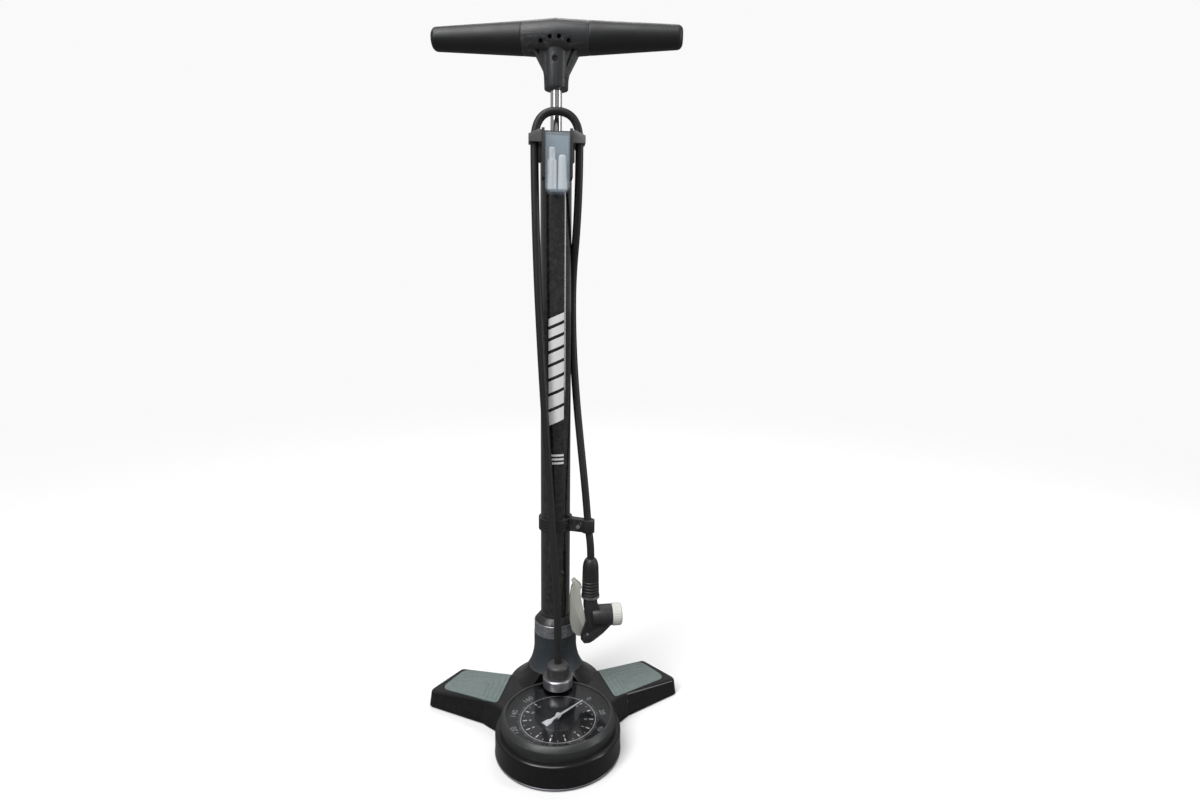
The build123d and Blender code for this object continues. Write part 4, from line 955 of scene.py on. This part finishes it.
# --- floor, light and camera --------------------------------------------------------------------------
def make_stage():
    """A round pale floor that fades into the room and throws little light back up at the pump."""
    angle = np.linspace(0.0, 2 * math.pi, 96, endpoint=False)
    rim = np.column_stack([30.0 * np.cos(angle), 30.0 * np.sin(angle), np.full(96, -0.0002)])
    mesh = bpy.data.meshes.new("floor")
    mesh.from_pydata(rim.tolist(), [], [list(range(96))])
    material, tree, shader = bare("floor_pale", 0.8, specular=0.1)
    shader.inputs["Base Color"].default_value = (0.14, 0.14, 0.14, 1.0)
    seen = tree.nodes.new("ShaderNodeBsdfDiffuse")
    seen.inputs["Color"].default_value = (0.9, 0.9, 0.9, 1.0)
    room = tree.nodes.new("ShaderNodeEmission")
    room.inputs["Color"].default_value = (0.95, 0.95, 0.95, 1.0)
    where = tree.nodes.new("ShaderNodeTexCoord").outputs["Object"]
    away = tree.nodes.new("ShaderNodeVectorMath")
    away.operation = "LENGTH"
    tree.links.new(where, away.inputs[0])
    fade = maths(tree, "DIVIDE", maths(tree, "SUBTRACT", away.outputs["Value"], 0.7), 1.8, clamp=True)
    faded = tree.nodes.new("ShaderNodeMixShader")
    tree.links.new(fade, faded.inputs[0])
    tree.links.new(seen.outputs[0], faded.inputs[1])
    tree.links.new(room.outputs[0], faded.inputs[2])
    choice = tree.nodes.new("ShaderNodeMixShader")
    tree.links.new(tree.nodes.new("ShaderNodeLightPath").outputs["Is Camera Ray"], choice.inputs[0])
    tree.links.new(shader.outputs[0], choice.inputs[1])
    tree.links.new(faded.outputs[0], choice.inputs[2])
    tree.links.new(choice.outputs[0], tree.nodes["Material Output"].inputs["Surface"])
    mesh.materials.append(material)
    floor = bpy.data.objects.new("floor", mesh)
    bpy.context.scene.collection.objects.link(floor)


def stand(name, data, place, x, y, z):
    """An object for a lamp or camera at a place, with its own three axes; it looks along -z."""
    holder = bpy.data.objects.new(name, data)
    bpy.context.scene.collection.objects.link(holder)
    holder.matrix_world = np.array([[*x, 0], [*y, 0], [*z, 0], [*place, 1]]).tolist()
    return holder


def make_light(name, place, aim, size, power):
    """A soft rectangular lamp at a place, facing a point."""
    lamp = bpy.data.lights.new(name, "AREA")
    lamp.shape = "RECTANGLE"
    lamp.size, lamp.size_y = size
    lamp.energy = power
    way = np.asarray(aim, float) - np.asarray(place, float)
    z = -way / np.linalg.norm(way)
    x = np.cross((0.0, 0.0, 1.0), z)
    x /= np.linalg.norm(x)
    stand(name, lamp, place, x, np.cross(z, x), z)


def make_sun():
    """An even soft light from high on the left, which lights the whole floor alike."""
    lamp = bpy.data.lights.new("even", "SUN")
    lamp.energy = 2.3
    lamp.angle = math.radians(50)
    holder = bpy.data.objects.new("even", lamp)
    holder.rotation_euler = (math.radians(24), math.radians(-20), 0.0)
    bpy.context.scene.collection.objects.link(holder)


def make_world():
    """A pale room: bright behind the pump, softer as the light that falls on it."""
    world = bpy.data.worlds.new("room")
    world.use_nodes = True
    tree = world.node_tree
    light = tree.nodes["Background"]
    light.inputs["Color"].default_value = (1.0, 1.0, 1.0, 1.0)
    light.inputs["Strength"].default_value = 0.3
    seen = tree.nodes.new("ShaderNodeBackground")
    seen.inputs["Color"].default_value = (1.0, 1.0, 1.0, 1.0)
    seen.inputs["Strength"].default_value = 0.95
    choice = tree.nodes.new("ShaderNodeMixShader")
    tree.links.new(tree.nodes.new("ShaderNodeLightPath").outputs["Is Camera Ray"], choice.inputs[0])
    tree.links.new(light.outputs[0], choice.inputs[1])
    tree.links.new(seen.outputs[0], choice.inputs[2])
    tree.links.new(choice.outputs[0], tree.nodes["World Output"].inputs["Surface"])
    bpy.context.scene.world = world


def make_camera():
    """The camera: a wide lens close in front of the pump, tipped down and rolled a little."""
    aside = math.radians(-2.152)
    heading = aside - math.radians(3.899)
    pitch = math.radians(8.5)
    roll = math.radians(0.681)
    away = 0.690
    place = np.array([away * math.sin(aside), -away * math.cos(aside), 0.448])
    ahead = np.array(
        [-math.sin(heading) * math.cos(pitch), math.cos(heading) * math.cos(pitch), -math.sin(pitch)]
    )
    right = np.cross(ahead, up)
    right /= np.linalg.norm(right)
    above = np.cross(right, ahead)
    x = math.cos(roll) * right + math.sin(roll) * above
    y = -math.sin(roll) * right + math.cos(roll) * above
    lens = bpy.data.cameras.new("camera")
    lens.sensor_width = 36.0
    lens.lens = 19.71
    lens.clip_start = 0.01
    bpy.context.scene.camera = stand("camera", lens, place, x, y, -ahead)


make_stage()
make_sun()
make_light("key", (-1.1, -1.1, 1.5), (0, 0, 0.35), (0.35, 1.4), 9)
make_light("side", (1.4, -0.5, 0.8), (0, 0, 0.35), (0.25, 1.4), 6)
make_light("back", (0.3, 1.5, 2.6), (0, 0, 0.4), (1.4, 0.6), 14)
make_world()
bpy.context.scene.view_settings.view_transform = "Standard"
make_camera()
